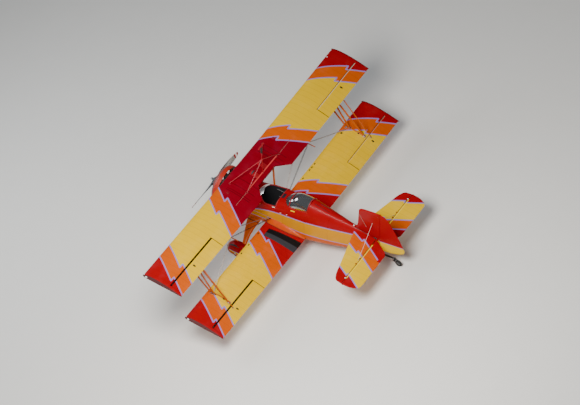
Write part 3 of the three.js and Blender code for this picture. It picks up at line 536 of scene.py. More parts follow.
# %% The wing's enamel
TAPE = 0.024
TANK_SEAM_AT, TANK_SEAM_ENDS = 0.880, (0.63, 1.58)
TANK_LAP_BEHIND, TANK_SEAM_RUN = 0.013, (0.28, 1.16)
WALKWAY_FRONT = 0.29
WALKWAY_EDGES = [
    # y where it starts, how much it nears the root as it goes aft, distance out
    (0.281, 0.163, 0.828), (0.290, 0.102, 0.998), (0.311, 0.037, 1.161),
]


def wing_livery(plane, borders):
    y, _ = WINGS[plane]["at"]

    def livery(across, aft_of, height):
        colour = banded(across, aft_of - y, RED if plane == "lower" else CRIMSON, borders)
        return (walkway if plane == "lower" else tank_lap)(across, aft_of - y, height, colour)
    return livery


def on_top(plane, outboard, aft_of, height):
    """Whether the point is above the section's middle line, and so on the upper skin."""
    behind = (aft_of - CAMBER_AT * CHORD) * (1 / (CHORD * (1 - CAMBER_AT)))
    middle = behind * behind * (-CAMBER * CHORD) + CAMBER * CHORD
    level_line = outboard * math.sin(DIHEDRAL) - aft_of * math.sin(INCIDENCE) + middle
    return (height - WINGS[plane]["at"][1]).over(level_line)


def tank_lap(across, aft_of, height, colour):
    """The worn pale edge of the skin that laps over the tanks."""
    outboard = across.size()
    lap = (aft_of - TANK_SEAM_AT - TANK_LAP_BEHIND).within(0.0045) * outboard.between(*TANK_SEAM_ENDS)
    lap = lap * on_top("upper", outboard, aft_of, height)
    return blend(lap * 0.75, colour, LAP_PALE)


def walkway(outboard, aft_of, height, colour):
    """Black grit to walk on at the left lower root, with a smoother grey strip outboard of it."""
    inner, middle, outer = [(outboard + (aft_of - at) * slope).over(edge)
                            for at, slope, edge in WALKWAY_EDGES]
    along_chord = aft_of.over(WALKWAY_FRONT) * on_top("lower", outboard, aft_of, height)
    black = (inner - middle) * along_chord
    grey = (middle - outer) * along_chord
    return blend(grey, blend(black, colour, WALKWAY), WALKWAY_EDGE)


def tape_dust(across, aft_of, height):
    """Dust that gathers at each rib tape's edge."""
    return across.size().near_multiple(RIB_PITCH, TAPE * 0.62) * 0.08


def wing_marks(plane):
    """The tapes' dust, and a painted shade line at the aileron's inner end."""
    y, _ = WINGS[plane]["at"]

    def marks(across, aft_of, height):
        # Painted shade: a dark line across the chord at the aileron's inner end, where its gap is.
        gap = (across.size() - WINGS[plane]["aileron"][0] + COVE / 2).within(0.011)
        gap = gap * (aft_of - y).over(HINGE - NOSE_RADIUS)
        return tape_dust(across, aft_of, height).most(gap)
    return marks


SKIN_SEAMS_LEFT = (0.630, 0.918, 1.140, 1.212)
SKIN_SEAMS_RIGHT = (0.622, 0.765, 0.950)


def upper_marks(across, aft_of, height):
    """The tapes' dust, and dark seams along the chord over the tanks in the middle."""
    seams = None
    for places, sign in ((SKIN_SEAMS_LEFT, 1), (SKIN_SEAMS_RIGHT, -1)):
        for x in places:
            seam = (across - sign * x).within(0.0065)
            seams = seam if seams is None else seams.most(seam)
    outboard = across.size()
    seams = seams * aft_of.between(*TANK_SEAM_RUN)
    lap = (aft_of - TANK_SEAM_AT).within(0.006) * outboard.between(*TANK_SEAM_ENDS)
    seams = seams.most(lap) * on_top("upper", outboard, aft_of, height)
    return seams.most(wing_marks("upper")(across, aft_of, height))


def wing_rises(across, aft_of, height):
    """Each rib's tape stands three quarters of a millimetre proud."""
    return across.size().near_multiple(RIB_PITCH, TAPE) * 0.75


upper_enamel = enamel("upper_wing_gloss_enamel", wing_livery("upper", UPPER_BORDERS),
                      upper_marks, wing_rises)
lower_enamel = enamel("lower_wing_gloss_enamel", wing_livery("lower", LOWER_BORDERS),
                      wing_marks("lower"), wing_rises)

# %% Panels and ailerons
def ahead_of_hinge(place, side, aileron, short_by=0.001):
    """A test of whether a face is inside the slot ahead of the aileron."""
    inverse, slack = place.inverted(), COVE + 0.002

    def test(centre):
        seen = inverse @ centre
        return (aileron[0] - slack < seen.x * side < aileron[1] + slack
                and HINGE - NOSE_RADIUS - slack < seen.y < HINGE - short_by)
    return test


WING_ENAMEL = {"upper": upper_enamel, "lower": lower_enamel}
NOSE_SHORT_BY = {"left": 0.001, "right": 0.012}
# The slot ahead of each left aileron is painted black: painted shade on the aileron's nose and on the
# wing's cove.
slot_painted_shade = enamel("slot_painted_shade_enamel", lambda *place: linear("0C0C0E"))
NOSE_PAINTED_LIGHT = {
    ("upper", "left"): slot_painted_shade,
    ("lower", "left"): slot_painted_shade,
    # On the right the aileron's nose is lighter: painted highlight, ivory on the upper one and the livery
    # lightened with ivory on the lower one.
    ("upper", "right"): enamel("ivory_slot_painted_highlight", lambda *place: IVORY),
    ("lower", "right"): enamel("pale_slot_painted_highlight", lambda across, *rest: blend(
        Field(across.tree, 0.4), wing_livery("lower", LOWER_BORDERS)(across, *rest), IVORY)),
}
for plane, sizes in WINGS.items():
    for hand, side in HANDS:
        place = wing_place(plane, side)
        gap = sizes["aileron"]
        bm = bmesh.new()
        skin_over(bm, to_hand(wing_rows(sizes["inner"], sizes["tip"], gap), side, place))
        publish(f"{plane}_wing_{hand}_skin", bm, WING_ENAMEL[plane],
                [f"wing_{plane}_{hand}"], sharp=40,
                # The left wings' coves take the painted shade too; the right ones keep the livery.
                inner=slot_painted_shade if side == 1 else WING_ENAMEL[plane],
                is_inner=ahead_of_hinge(place, side, gap))
        bm = bmesh.new()
        skin_over(bm, to_hand(aileron_rows(*gap), side, place))
        publish(f"{plane}_aileron_{hand}_skin", bm, WING_ENAMEL[plane],
                [f"aileron_{plane}_{hand}"], f"{plane}_{hand}_aileron", 40, NOSE_PAINTED_LIGHT[plane, hand],
                ahead_of_hinge(place, side, gap, NOSE_SHORT_BY[hand]))

# %% The centre section, with its cut-out for the pilot's view
CENTRE_HALF = 0.9697
CUTOUT_HALF, CUTOUT_OUTER, CUTOUT_DEPTH = 0.490, 0.860, 0.390
CENTRE_RISE = 0.970 * math.sin(DIHEDRAL)
centre_place = shift((0, 0, CENTRE_RISE)) @ roll("X", -INCIDENCE)


def centre_back(x):
    """Where the centre section's trailing edge is, across the cut-out."""
    if abs(x) >= CUTOUT_OUTER:
        return CHORD
    share = max(abs(x) - CUTOUT_HALF, 0) / (CUTOUT_OUTER - CUTOUT_HALF)
    return CHORD - CUTOUT_DEPTH * (1 - share)


centre_stations = sorted({round(sign * x, 4) for sign in (1, -1) for x in
                          [0, 0.1, 0.2, 0.3, 0.4, CUTOUT_HALF, 0.56, 0.63, 0.70, 0.78,
                           CUTOUT_OUTER, 0.92, CENTRE_HALF]})
bm = bmesh.new()
skin_over(bm, [[centre_place @ p for p in section_row(x, 0, centre_back(x))]
               for x in centre_stations])
publish("upper_wing_centre_skin", bm, upper_enamel, ["wing_upper_center"], sharp=40)

# %% [markdown]
# ## Fuselage
# Formers of changing outline carry long stringers and a stretched cover, so every section runs
# smoothly into the next. The same idea is used here: a few measured formers, smooth curves
# through them, and a skin over closely spaced sections. Each half of a section is a
# superellipse, which goes from a round nose to slab sides with rounded corners.

# %% Formers
DECK_JOINT = 2.75
FRONT_FORMERS = [
    # y, half width, top, waist, bottom, squareness above, squareness below
    (-0.06, 0.560, -0.905, -1.540, -2.140, 2.1, 2.1),
    (0.45, 0.520, -0.860, -1.500, -2.095, 2.4, 2.4),
    (1.00, 0.475, -0.770, -1.450, -2.045, 3.4, 3.0),
    (1.65, 0.460, -0.625, -1.420, -1.980, 4.4, 3.4),
    (2.15, 0.455, -0.530, -1.400, -1.930, 3.6, 3.6),
    (DECK_JOINT, 0.440, -0.350, -1.350, -1.860, 3.0, 3.6),
]
REAR_FORMERS = [
    (DECK_JOINT, 0.440, -0.225, -1.350, -1.860, 2.4, 3.6),
    (3.30, 0.375, -0.300, -1.270, -1.745, 2.3, 3.4),
    (4.10, 0.240, -0.395, -1.110, -1.555, 2.2, 3.0),
    (4.70, 0.130, -0.475, -0.960, -1.370, 2.2, 2.6),
    (5.24, 0.030, -0.625, -0.860, -1.170, 2.2, 2.2),
]
SECTION_POINTS = 64


def curve_through(rows, at):
    """Every column of the table at one station, on smooth curves through its rows."""
    k = max(0, min(len(rows) - 2, sum(1 for row in rows[1:-1] if at >= row[0])))
    start, end = rows[k], rows[k + 1]
    t = (at - start[0]) / (end[0] - start[0])

    def slope(i, column):
        a, b = rows[max(i - 1, 0)], rows[min(i + 1, len(rows) - 1)]
        return (b[column] - a[column]) / (b[0] - a[0]) * (end[0] - start[0])
    values = [at]
    for column in range(1, len(start)):
        p, q = start[column], end[column]
        a, b = slope(k, column), slope(k + 1, column)
        values.append((2 * t ** 3 - 3 * t ** 2 + 1) * p + (t ** 3 - 2 * t ** 2 + t) * a
                      + (3 * t ** 2 - 2 * t ** 3) * q + (t ** 3 - t ** 2) * b)
    return values


def superellipse(former, count=SECTION_POINTS, centre=0.0):
    """One section's points, anticlockwise from the left waist, seen from behind."""
    y, half, top, waist, bottom, above, below = former
    points = []
    for a in angles(count):
        c, s = math.cos(a), math.sin(a)
        height, squareness = (top - waist, above) if s >= 0 else (waist - bottom, below)
        points.append(Vector((centre + half * math.copysign(abs(c) ** (2 / squareness), c), y,
                              waist + height * math.copysign(abs(s) ** (2 / squareness), s))))
    return points


def spaced(start, end, pitch):
    count = max(1, round((end - start) / pitch))
    return [start + (end - start) * i / count for i in range(count + 1)]


def former_at(y):
    return curve_through(FRONT_FORMERS if y < DECK_JOINT else REAR_FORMERS, y)


def deck_height(y):
    """Height of the fuselage's top line."""
    return former_at(y)[2]


def hull_side(y, z, out=0.0):
    """Half width of the fuselage at a height."""
    _, half, top, waist, bottom, above, below = former_at(y)
    reach, power = ((top - waist, above) if z > waist else (waist - bottom, below))
    share = min(abs(z - waist) / reach, 1)
    return half * (1 - share ** power) ** (1 / power) + out

# %% The fuselage's livery
# A lavender line rises along each side from the lower wing to the tailplane. Red lies above
# it, a golden band and then orange below it.
LINE_START, LINE_FRONT, LINE_RISE = 1.0, -1.09, 0.1234
WAVE_END, WAVE = 1.9, 0.16
BAND_DEPTH, BAND_LOW, BAND_LOW_AT, BAND_RISE = 0.56, -1.600, 1.6, 0.026
BAND_STEP, BAND_STEP_AT = 0.11, 1.300
SIDE_STRIPE, STREAK_Z, STREAK_END = 0.020, -1.415, 1.80
FUSELAGE_BAY, FIRST_BAY, SEAM = 0.405, 0.25, 0.0016
SIDE_SEAM_Z, SIDE_SEAM_RISE = -0.98, 0.10


def fuselage_livery(across, aft_of, height):
    line = (aft_of - LINE_START) * LINE_RISE + LINE_FRONT
    ahead_of_wave = aft_of.least(WAVE_END) - WAVE_END
    band = height - line + ahead_of_wave * ahead_of_wave * WAVE
    front_edge = (aft_of - BAND_LOW_AT) * BAND_RISE + BAND_LOW + aft_of.over(BAND_STEP_AT) * BAND_STEP
    under_edge = height - front_edge.most(line - BAND_DEPTH)
    colour = blend(under_edge.over(0), ORANGE, GOLD)
    colour = blend(band.over(0), colour, RED)
    stripe = band.within(SIDE_STRIPE)
    lower = under_edge.within(SIDE_STRIPE * 0.8)
    streak = (height - STREAK_Z).within(SIDE_STRIPE * 0.4) * aft_of.under(STREAK_END)
    return blend(stripe.most(lower).most(streak), colour, LAVENDER)


def fuselage_marks(across, aft_of, height):
    """Panel seams: across at each bay, and one along each side of the deck."""
    bays = (aft_of - FIRST_BAY).near_multiple(FUSELAGE_BAY * 2, SEAM)
    along_side = (height - SIDE_SEAM_Z - (aft_of - LINE_START) * SIDE_SEAM_RISE).within(SEAM)
    return bays.most(along_side)


def fuselage_rises(across, aft_of, height):
    return fuselage_marks(across, aft_of, height) * -0.9


fuselage_enamel = enamel("fuselage_gloss_enamel", fuselage_livery, fuselage_marks, fuselage_rises)

# %% Bare metal, plastics and other finishes
def plain_finish(name, hex_code, roughness, metallic=0.0, grain_mm=30.0, depth=0.0, spread=0.12,
                 coat=0.0):
    """A finish of one colour, with uneven tone and wear at the scale of its own grain."""
    material, tree = new_material(name)
    vector, _ = airframe_fields(tree)
    grain = clouds(tree, vector, grain_mm)
    tone = add(tree, "ShaderNodeHueSaturation", {
        "Value": grain * (2 * spread) + (1 - spread), "Color": linear(hex_code)})
    fine = clouds(tree, vector, grain_mm / 9, 2.0)
    bump = add(tree, "ShaderNodeBump", {"Height": fine * depth, "Strength": 1.0, "Distance": 0.001})
    shader = add(tree, "ShaderNodeBsdfPrincipled", {
        "Base Color": tone.outputs["Color"], "Metallic": metallic,
        "Roughness": grain * 0.18 + (roughness - 0.09), "Normal": bump.outputs["Normal"],
        "Coat Weight": coat, "Coat Roughness": 0.08, "IOR": 1.5})
    close_material(tree, shader)
    return material


# what it is, colour, roughness, metal, grain in mm, its depth in mm, spread of tone, clear coat
# Near black: the panel's own black, and on the cockpits' walls and floors and in the pants' wells also
# painted shade.
black_paint_and_shade = plain_finish("black_crackle_and_painted_shade", "1D1E22", 0.62, 0, 14, 0.25)
floor_black = plain_finish("walkway_grit", "1B1C1F", 0.85, 0, 60, 0.8)
polished_aluminium = plain_finish("polished_aluminium", "C4C6C8", 0.22, 1, 40, 0.02)
satin_aluminium = plain_finish("satin_aluminium", "A9ACAF", 0.4, 1, 25, 0.06)
cast_aluminium = plain_finish("cast_aluminium", "8C8E90", 0.55, 1, 6, 0.22, 0.2)
stainless = plain_finish("stainless_steel", "9A9DA1", 0.3, 1, 8, 0.03)
# One steel wire in two copies: a dark one as painted shade and a pale one as painted light.
wire_painted_shade = plain_finish("wire_in_painted_shade", "34363A", 0.4, 0.8, 8, 0.03)
wire_painted_light = plain_finish("wire_in_painted_light", "A69C94", 0.45, 0.6, 8, 0.03)
engine_grey = plain_finish("engine_grey_enamel", "55585C", 0.5, 0.2, 22, 0.12, 0.18)
# Heads and intake pipes are darker than bare castings: partly their own dark finish, partly painted shade
# inside the cowl.
head_black_and_shade = plain_finish("dark_head_casting_and_painted_shade", "2E2D2B", 0.6, 0.6, 6, 0.22, 0.2)
engine_steel = plain_finish("oiled_cylinder_steel", "5B5550", 0.42, 1, 12, 0.1, 0.22)
exhaust_steel = plain_finish("heat_stained_exhaust", "6B5546", 0.48, 1, 30, 0.16, 0.3)
tyre_rubber = plain_finish("tyre_rubber", "1C1B1B", 0.82, 0, 35, 0.25)
gear_black = plain_finish("semi_gloss_black", "191A1C", 0.38, 0, 30, 0.05, 0.12, 0.3)
stud_black = plain_finish("stud_matt_black", "08080A", 0.75, 0, 12, 0.1)
orange_enamel = plain_finish("orange_gloss_enamel", "B45000", 0.44, 0, 260, 0.05, 0.06)
plate_enamel = plain_finish("plate_satin_enamel", "58000A", 0.6, 0, 260, 0.05, 0.06)
red_enamel = plain_finish("red_gloss_enamel", "9A0414", 0.36, 0, 260, 0.05, 0.07, 0.12)
cowl_enamel = plain_finish("cowl_gloss_enamel", "A82208", 0.46, 0, 260, 0.05, 0.06)
crimson_enamel = plain_finish("crimson_gloss_enamel", "780414", 0.38, 0, 260, 0.05, 0.06, 0.1)
# The rack's rail is a lighter red than the rack itself: painted highlight.
rail_highlight_enamel = plain_finish("rail_painted_highlight", "D2403C", 0.34, 0, 200, 0.05, 0.06, 0.4)
deck_cover_blue = plain_finish("blue_black_enamel", "16222C", 0.3, 0, 120, 0.04, 0.12, 0.5)
white_lens = plain_finish("white_lamp_lens", "ECEDEA", 0.14, 0, 40, 0.02, 0.12, 1)
yellow_enamel = plain_finish("yellow_gloss_enamel", "E9BE00", 0.32, 0, 260, 0.05, 0.06, 0.5)
white_enamel = plain_finish("white_gloss_enamel", "D8D6CF", 0.34, 0, 120, 0.04, 0.05, 0.4)
red_leather = plain_finish("red_coaming_leather", "8E0F18", 0.58, 0, 9, 0.35)
black_leather = plain_finish("black_leather", "211D1B", 0.52, 0, 7, 0.4)
webbing = plain_finish("belt_webbing", "2C3138", 0.78, 0, 3, 0.5)
copper_tube = plain_finish("copper_tube", "9A5A3A", 0.35, 1, 10, 0.05)

# %% Cockpits are cut out of the skin, and get dark walls and floors, their near black partly painted shade
PITS = {
    # nose, rear, half width, floor, wall's distance in from the skin
    "front": (0.87, 1.59, 0.400, -1.78, -1.15),
    "rear": (1.93, 2.69, 0.285, -1.64, -1.05),
}
PIT_SKIN = 0.045


def pit_outline(nose, rear, half, count=16):
    """A cockpit seen from above: round in front and square behind."""
    arc = [math.pi * (1 + i / count) for i in range(count + 1)]
    return [(half * math.cos(a), nose + half + half * math.sin(a)) for a in arc] + [
        (half, rear), (-half, rear)]


def pit_rows(key):
    """Rings from the floor to above the deck: narrow inside the hull, full width at the top."""
    nose, rear, half, floor, coaming = PITS[key]
    rows = []
    for z in [floor, floor + 0.05, floor + 0.15, floor + 0.3, -1.30, coaming, coaming + 0.002, 0.2]:
        row = []
        for x, y in pit_outline(nose, rear, half):
            wall = hull_side(y, z) - PIT_SKIN if z <= coaming else half
            row.append(Vector((math.copysign(min(abs(x), max(wall, 0.02)), x), y, z)))
        rows.append(row)
    return rows


def carve(bm, cutters):
    """Cuts closed shapes out of a body with the exact solver, and returns the result."""
    bmesh.ops.recalc_face_normals(bm, faces=bm.faces)
    body = bpy.data.objects.new("body_to_carve", bpy.data.meshes.new("body_to_carve"))
    bm.to_mesh(body.data)
    bm.free()
    bpy.context.scene.collection.objects.link(body)
    tools = []
    for cutter in cutters:
        bmesh.ops.recalc_face_normals(cutter, faces=cutter.faces)
        tool = bpy.data.objects.new("carving_tool", bpy.data.meshes.new("carving_tool"))
        cutter.to_mesh(tool.data)
        cutter.free()
        bpy.context.scene.collection.objects.link(tool)
        carving = body.modifiers.new("carve", "BOOLEAN")
        carving.operation, carving.solver, carving.object = "DIFFERENCE", "EXACT", tool
        tools.append(tool)
    ready = body.evaluated_get(bpy.context.evaluated_depsgraph_get())
    carved = bmesh.new()
    carved.from_mesh(ready.to_mesh())
    ready.to_mesh_clear()
    for thing in [body, *tools]:
        mesh = thing.data
        bpy.data.objects.remove(thing)
        bpy.data.meshes.remove(mesh)
    return carved


def in_pit(point):
    """Whether a face lies on a cockpit's wall or floor."""
    slack = 0.004
    for nose, rear, half, floor, _ in PITS.values():
        inside = (abs(point.x) < half + slack and nose - slack < point.y < rear + slack
                  and point.z > floor - slack)
        shell = point.z < deck_height(point.y) - 0.03
        if inside and shell and abs(point.x) < hull_side(point.y, point.z) - 0.006:
            return True
    return False


bm = bmesh.new()
skin_over(bm, [superellipse(curve_through(FRONT_FORMERS, y)) for y in spaced(-0.06, DECK_JOINT, 0.09)])
cutters = []
for key in PITS:
    tool = bmesh.new()
    skin_over(tool, pit_rows(key))
    cutters.append(tool)
publish("fuselage_front_skin", carve(bm, cutters), fuselage_enamel, ["fuselage_front"],
        inner=black_paint_and_shade, is_inner=in_pit)
bm = bmesh.new()
skin_over(bm, [superellipse(curve_through(REAR_FORMERS, y))
               for y in spaced(DECK_JOINT + 0.0002, 5.24, 0.09)])
publish("fuselage_rear_skin", bm, fuselage_enamel, ["fuselage_rear"])

# %% [markdown]
# ## Cowl
# A short ring of spun aluminium with a rolled front lip covers the cylinder heads. It is one
# profile turned about the thrust line, closed inside so that it has a real wall.

# %% The cowl ring
thrust_place = shift((0, 0, THRUST.z)) @ roll("X", -math.pi / 2)
LIP_Y, CROWN_Y, COWL_REAR_Y = -0.810, -0.675, -0.555
MOUTH, CROWN, COWL_REAR, COWL_WALL = 0.500, 0.684, 0.679, 0.010
outer = [(MOUTH, LIP_Y + 0.09), (MOUTH - 0.007, LIP_Y + 0.055), (MOUTH - 0.006, LIP_Y + 0.03),
         (MOUTH + 0.002, LIP_Y + 0.012), (MOUTH + 0.018, LIP_Y + 0.001), (MOUTH + 0.040, LIP_Y),
         (MOUTH + 0.070, LIP_Y + 0.008), (MOUTH + 0.105, LIP_Y + 0.030),
         (CROWN - 0.042, LIP_Y + 0.062), (CROWN - 0.022, LIP_Y + 0.092),
         (CROWN - 0.006, CROWN_Y - 0.012), (CROWN, CROWN_Y + 0.03), (CROWN - 0.001, CROWN_Y + 0.07),
         (COWL_REAR, COWL_REAR_Y)]
inner_wall = [(COWL_REAR - COWL_WALL, COWL_REAR_Y), (CROWN - COWL_WALL, CROWN_Y + 0.03),
              (CROWN - COWL_WALL - 0.012, CROWN_Y - 0.012), (CROWN - 0.068, LIP_Y + 0.075),
              (MOUTH + 0.04, LIP_Y + 0.055)]
bm = bmesh.new()
turned(bm, [*outer, *inner_wall, outer[0]], thrust_place, sides=96)
publish("engine_cowl_ring", bm, cowl_enamel, ["engine_cowl"], sharp=50,
        inner=engine_grey,
        is_inner=lambda p: math.hypot(p.x, p.z - THRUST.z) < CROWN - 0.015 and p.y > LIP_Y + 0.075)

# %% [markdown]
# ## Engine
# A round engine with nine air-cooled cylinders in one row. Each cylinder is a steel barrel with
# thin fins, a cast head with deeper fins, two rocker boxes, and two push-rod tubes that run
# down to the nose case. One cylinder is drawn nine times about the thrust line.

# %% Crankcase, nose case and accessory case
CYLINDERS, ENGINE_Y, CASE_RADIUS = 9, -0.560, 0.235
CASE_BOLTS = 18


def around(count, index, radius=0.0, y=0.0):
    """A place on a circle about the thrust line, with its Z pointing outward and its Y aft."""
    return shift((0, y, THRUST.z)) @ roll("Y", math.tau * index / count) @ shift((0, 0, radius))


bm = bmesh.new()
turned(bm, [(0, -0.966), (0.050, -0.966), (0.062, -0.955), (0.062, -0.905), (0.092, -0.900),
            (0.118, -0.880), (0.128, -0.800), (0.158, -0.735), (0.190, -0.705), (0.222, -0.690),
            (CASE_RADIUS, -0.655), (CASE_RADIUS, -0.640), (0.226, -0.632), (0.226, -0.490),
            (CASE_RADIUS, -0.480), (CASE_RADIUS, -0.455), (0.262, -0.440), (0.290, -0.400),
            (0.290, -0.280), (0.230, -0.245), (0.180, -0.220), (0.180, -0.0605), (0, -0.0605)],
       thrust_place, sides=54)
for i in range(CASE_BOLTS):
    for radius, y, reach, thick in ((0.225, -0.648, 0.045, 0.009), (0.276, -0.398, 0.014, 0.008)):
        rod(bm, (0, -reach, 0), (0, 0.01, 0), thick, sides=6, place=around(CASE_BOLTS, i, radius, y))
for side in (1, -1):
    seat = shift((side * 0.075, -0.20, THRUST.z))
    block(bm, (0, 0, 0.215), (0.085, 0.16, 0.10), seat, bevel=0.012)
    rod(bm, (0, -0.10, 0.22), (0, 0.10, 0.22), 0.034, sides=20, place=seat)
publish("engine_cases", bm, engine_grey, ["engine"], sharp=30)

# %% Barrels and heads, fin by fin
def finned(core, fin, start, end, pitch):
    """A profile of thin fins between two heights: in to the core and out to the fin's edge."""
    profile, at = [], start
    while at + pitch <= end + 1e-6:
        profile += [(core, at), (core, at + pitch * 0.62), (fin, at + pitch * 0.72),
                    (fin, at + pitch * 0.92)]
        at += pitch
    return [*profile, (core, end)]


BARREL = [(0, 0.18), (0.086, 0.18), (0.086, 0.238), (0.070, 0.242),
          *finned(0.066, 0.080, 0.246, 0.372, 0.009)]
HEAD = [(0.074, 0.372), (0.078, 0.380), *finned(0.074, 0.094, 0.382, 0.500, 0.0107),
        *finned(0.058, 0.080, 0.502, 0.545, 0.0107), (0.050, 0.556), (0, 0.556)]
ROCKER_BOX, ROCKER_LEAN = (0.045, -0.030, 0.532), math.radians(18)
CYLINDER_SEATS = [around(CYLINDERS, i, y=ENGINE_Y) for i in range(CYLINDERS)]
bm = bmesh.new()
for seat in CYLINDER_SEATS:
    turned(bm, [*BARREL, (0, 0.374)], seat, sides=20)
publish("engine_barrels", bm, engine_steel, sharp=30)
bm = bmesh.new()
for seat in CYLINDER_SEATS:
    turned(bm, [(0, 0.370), *HEAD], seat, sides=20)
    for side in (1, -1):
        x, y, z = ROCKER_BOX
        lean = seat @ shift((side * x, y, z)) @ roll("Y", side * ROCKER_LEAN)
        block(bm, (0, 0, 0), (0.050, 0.105, 0.046), lean, bevel=0.010)
        for end in (-0.042, 0.042):
            rod(bm, (0, end, 0.020), (0, end, 0.029), 0.006, sides=6, place=lean)
publish("engine_heads", bm, head_black_and_shade, sharp=30)

# %% Push-rod tubes, ignition harness, intake pipes and cowl brackets
bm = bmesh.new()
for seat in CYLINDER_SEATS:
    for side in (1, -1):
        rod(bm, (side * 0.030, -0.115, 0.195), (side * 0.052, -0.068, 0.525), 0.0085, place=seat)
    rod(bm, (0, 0.01, 0.53), (0, 0.01, 0.676), 0.008, sides=8, place=seat)
publish("engine_pushrod_tubes", bm, stainless)
LOOM_Y, LOOM_RADIUS, LEAD_SHARE = -0.690, 0.262, 0.072
bm = bmesh.new()
tube(bm, [around(36, i, LOOM_RADIUS, LOOM_Y).translation for i in range(36)], 0.011, sides=8,
     closed=True)
for i, head in enumerate(CYLINDER_SEATS):
    for side in (-1, 1):
        loom = around(CYLINDERS, i + side * LEAD_SHARE)
        start = [(0, LOOM_Y, LOOM_RADIUS), (side * 0.02, -0.705, 0.33)]
        plug = [(side * 0.085, -0.12, 0.42), (side * 0.088, -0.06, 0.465), (side * 0.070, -0.02, 0.47)]
        tube(bm, placed(loom, start) + placed(head, plug), 0.0055, sides=6)
publish("engine_harness", bm, copper_tube)
bm = bmesh.new()
for seat in CYLINDER_SEATS:
    for side in (1, -1):
        tube(bm, placed(seat, [(side * 0.03, 0.15, 0.255), (side * 0.055, 0.155, 0.33),
                               (side * 0.060, 0.13, 0.42), (side * 0.058, 0.070, 0.475)]), 0.022)
publish("engine_intake_pipes", bm, head_black_and_shade)

# %% Exhaust: a collector behind the cylinders and one tail pipe under the belly
bm = bmesh.new()
tube(bm, [around(40, i, 0.300, -0.365).translation for i in range(40)], 0.034, sides=12, closed=True)
EXHAUST_ROUTE = [(-0.130, -0.340, -1.740), (-0.205, -0.335, -1.825), (-0.275, -0.322, -1.905),
                 (-0.297, -0.285, -1.975), (-0.300, -0.235, -2.035), (-0.297, -0.175, -2.095),
                 (-0.290, -0.110, -2.150), (-0.284, 0.0, -2.192), (-0.280, 0.120, -2.215),
                 (-0.280, 0.270, -2.228), (-0.280, 0.420, -2.235)]
PIPE_RADIUS, PIPE_WALL, PIPE_DEPTH = 0.052, 0.003, 0.12
CLAMP, CLAMP_RADIUS, HANGER_TOP = Vector((-0.28, 0.10, -2.214)), 0.056, 0.114
publish("exhaust_collector", bm, exhaust_steel)
bm = bmesh.new()
tube(bm, EXHAUST_ROUTE, PIPE_RADIUS, sides=24)


def pipe_end():
    return [f for f in bm.faces if len(f.verts) > 4 and f.calc_center_median().y > 0.3]


bmesh.ops.inset_region(bm, faces=pipe_end(), thickness=PIPE_WALL, depth=0.0)
pushed = bmesh.ops.extrude_discrete_faces(bm, faces=pipe_end())["faces"]
bmesh.ops.translate(bm, vec=(0, -PIPE_DEPTH, 0), verts=[v for f in pushed for v in f.verts])
tube(bm, [CLAMP + CLAMP_RADIUS * Vector((math.cos(a), 0, math.sin(a))) for a in angles(24)],
     0.006, sides=6, closed=True)
rod(bm, (0, 0, 0.044), (0, 0, HANGER_TOP), 0.007, place=shift(CLAMP))
publish("exhaust_tail_pipe", bm, exhaust_steel, ["exhaust_pipe"])

# %% Engine mount tubes and firewall
MOUNT_FEET, MOUNT_SPLAY = 8, 0.22
bm = bmesh.new()
for i in [k + 0.5 for k in range(MOUNT_FEET)]:
    foot = around(MOUNT_FEET, i, 0.46, -0.062).translation
    for splay in (-MOUNT_SPLAY, MOUNT_SPLAY):
        rod(bm, around(MOUNT_FEET, i + splay, 0.270, -0.30).translation, foot, 0.013)
publish("engine_mount", bm, gear_black)
bm = bmesh.new()
turned(bm, [(0, -0.064), (0.52, -0.064), (0.526, -0.0605), (0, -0.0605)], thrust_place, sides=48)
publish("firewall", bm, satin_aluminium)

# %% [markdown]
# ## Propeller
# Two forged metal blades in a hub with a domed pitch cylinder in front. A blade is a row of
# sections that grow thin and lose pitch towards the tip, stretched over like a wing.

# %% Hub and blades
BLADE_STATIONS = [
    # radius, chord, thickness, pitch in degrees
    (0.0953, 0.096, 0.096, 0), (0.150, 0.094, 0.094, 4), (0.200, 0.098, 0.088, 12),
    (0.260, 0.118, 0.072, 30), (0.330, 0.150, 0.052, 43), (0.450, 0.184, 0.041, 38.5),
    (0.600, 0.205, 0.033, 33), (0.780, 0.212, 0.027, 27.5), (0.950, 0.208, 0.022, 23),
    (1.100, 0.192, 0.017, 20), (1.220, 0.168, 0.013, 18), (1.290, 0.138, 0.010, 17),
    (1.325, 0.102, 0.008, 16), (1.345, 0.058, 0.006, 16), (1.350, 0.030, 0.005, 16),
]


BLADE_BANDS = [(1.13, RED), (1.20, linear("E8E6E0")), (1.27, RED)]
blade_metal, blade_tree = new_material("propeller_satin_metal")
blade_vector, blade_place = airframe_fields(blade_tree)
brushed = clouds(blade_tree, blade_vector, 12)
blade_reach, blade_colour = blade_place[0].size(), linear("B9BBBD")
for start, colour in BLADE_BANDS:
    blade_colour = blend(blade_reach.over(start), blade_colour, colour)
blade_shader = add(blade_tree, "ShaderNodeBsdfPrincipled", {
    "Base Color": blade_colour, "Metallic": blade_reach.under(BLADE_BANDS[0][0]),
    "Roughness": brushed * 0.2 + 0.22})
close_material(blade_tree, blade_shader)
for index, direction in ((1, 0), (2, math.pi)):
    bm = bmesh.new()
    rows = []
    for radius, chord, thickness, pitch in BLADE_STATIONS:
        twist = roll("X", -math.radians(pitch))
        rows.append([twist @ Vector((0, thickness / 2 * math.sin(a), chord / 2 * math.cos(a)))
                     + Vector((radius, 0, 0)) for a in angles(28)])
    skin_over(bm, rows)
    bmesh.ops.transform(bm, verts=bm.verts, matrix=shift(THRUST) @ roll("Y", direction))
    publish(f"propeller_blade_{index}_forged", bm, blade_metal,
            [f"propeller_blade_{index}"], "propeller")
bm = bmesh.new()
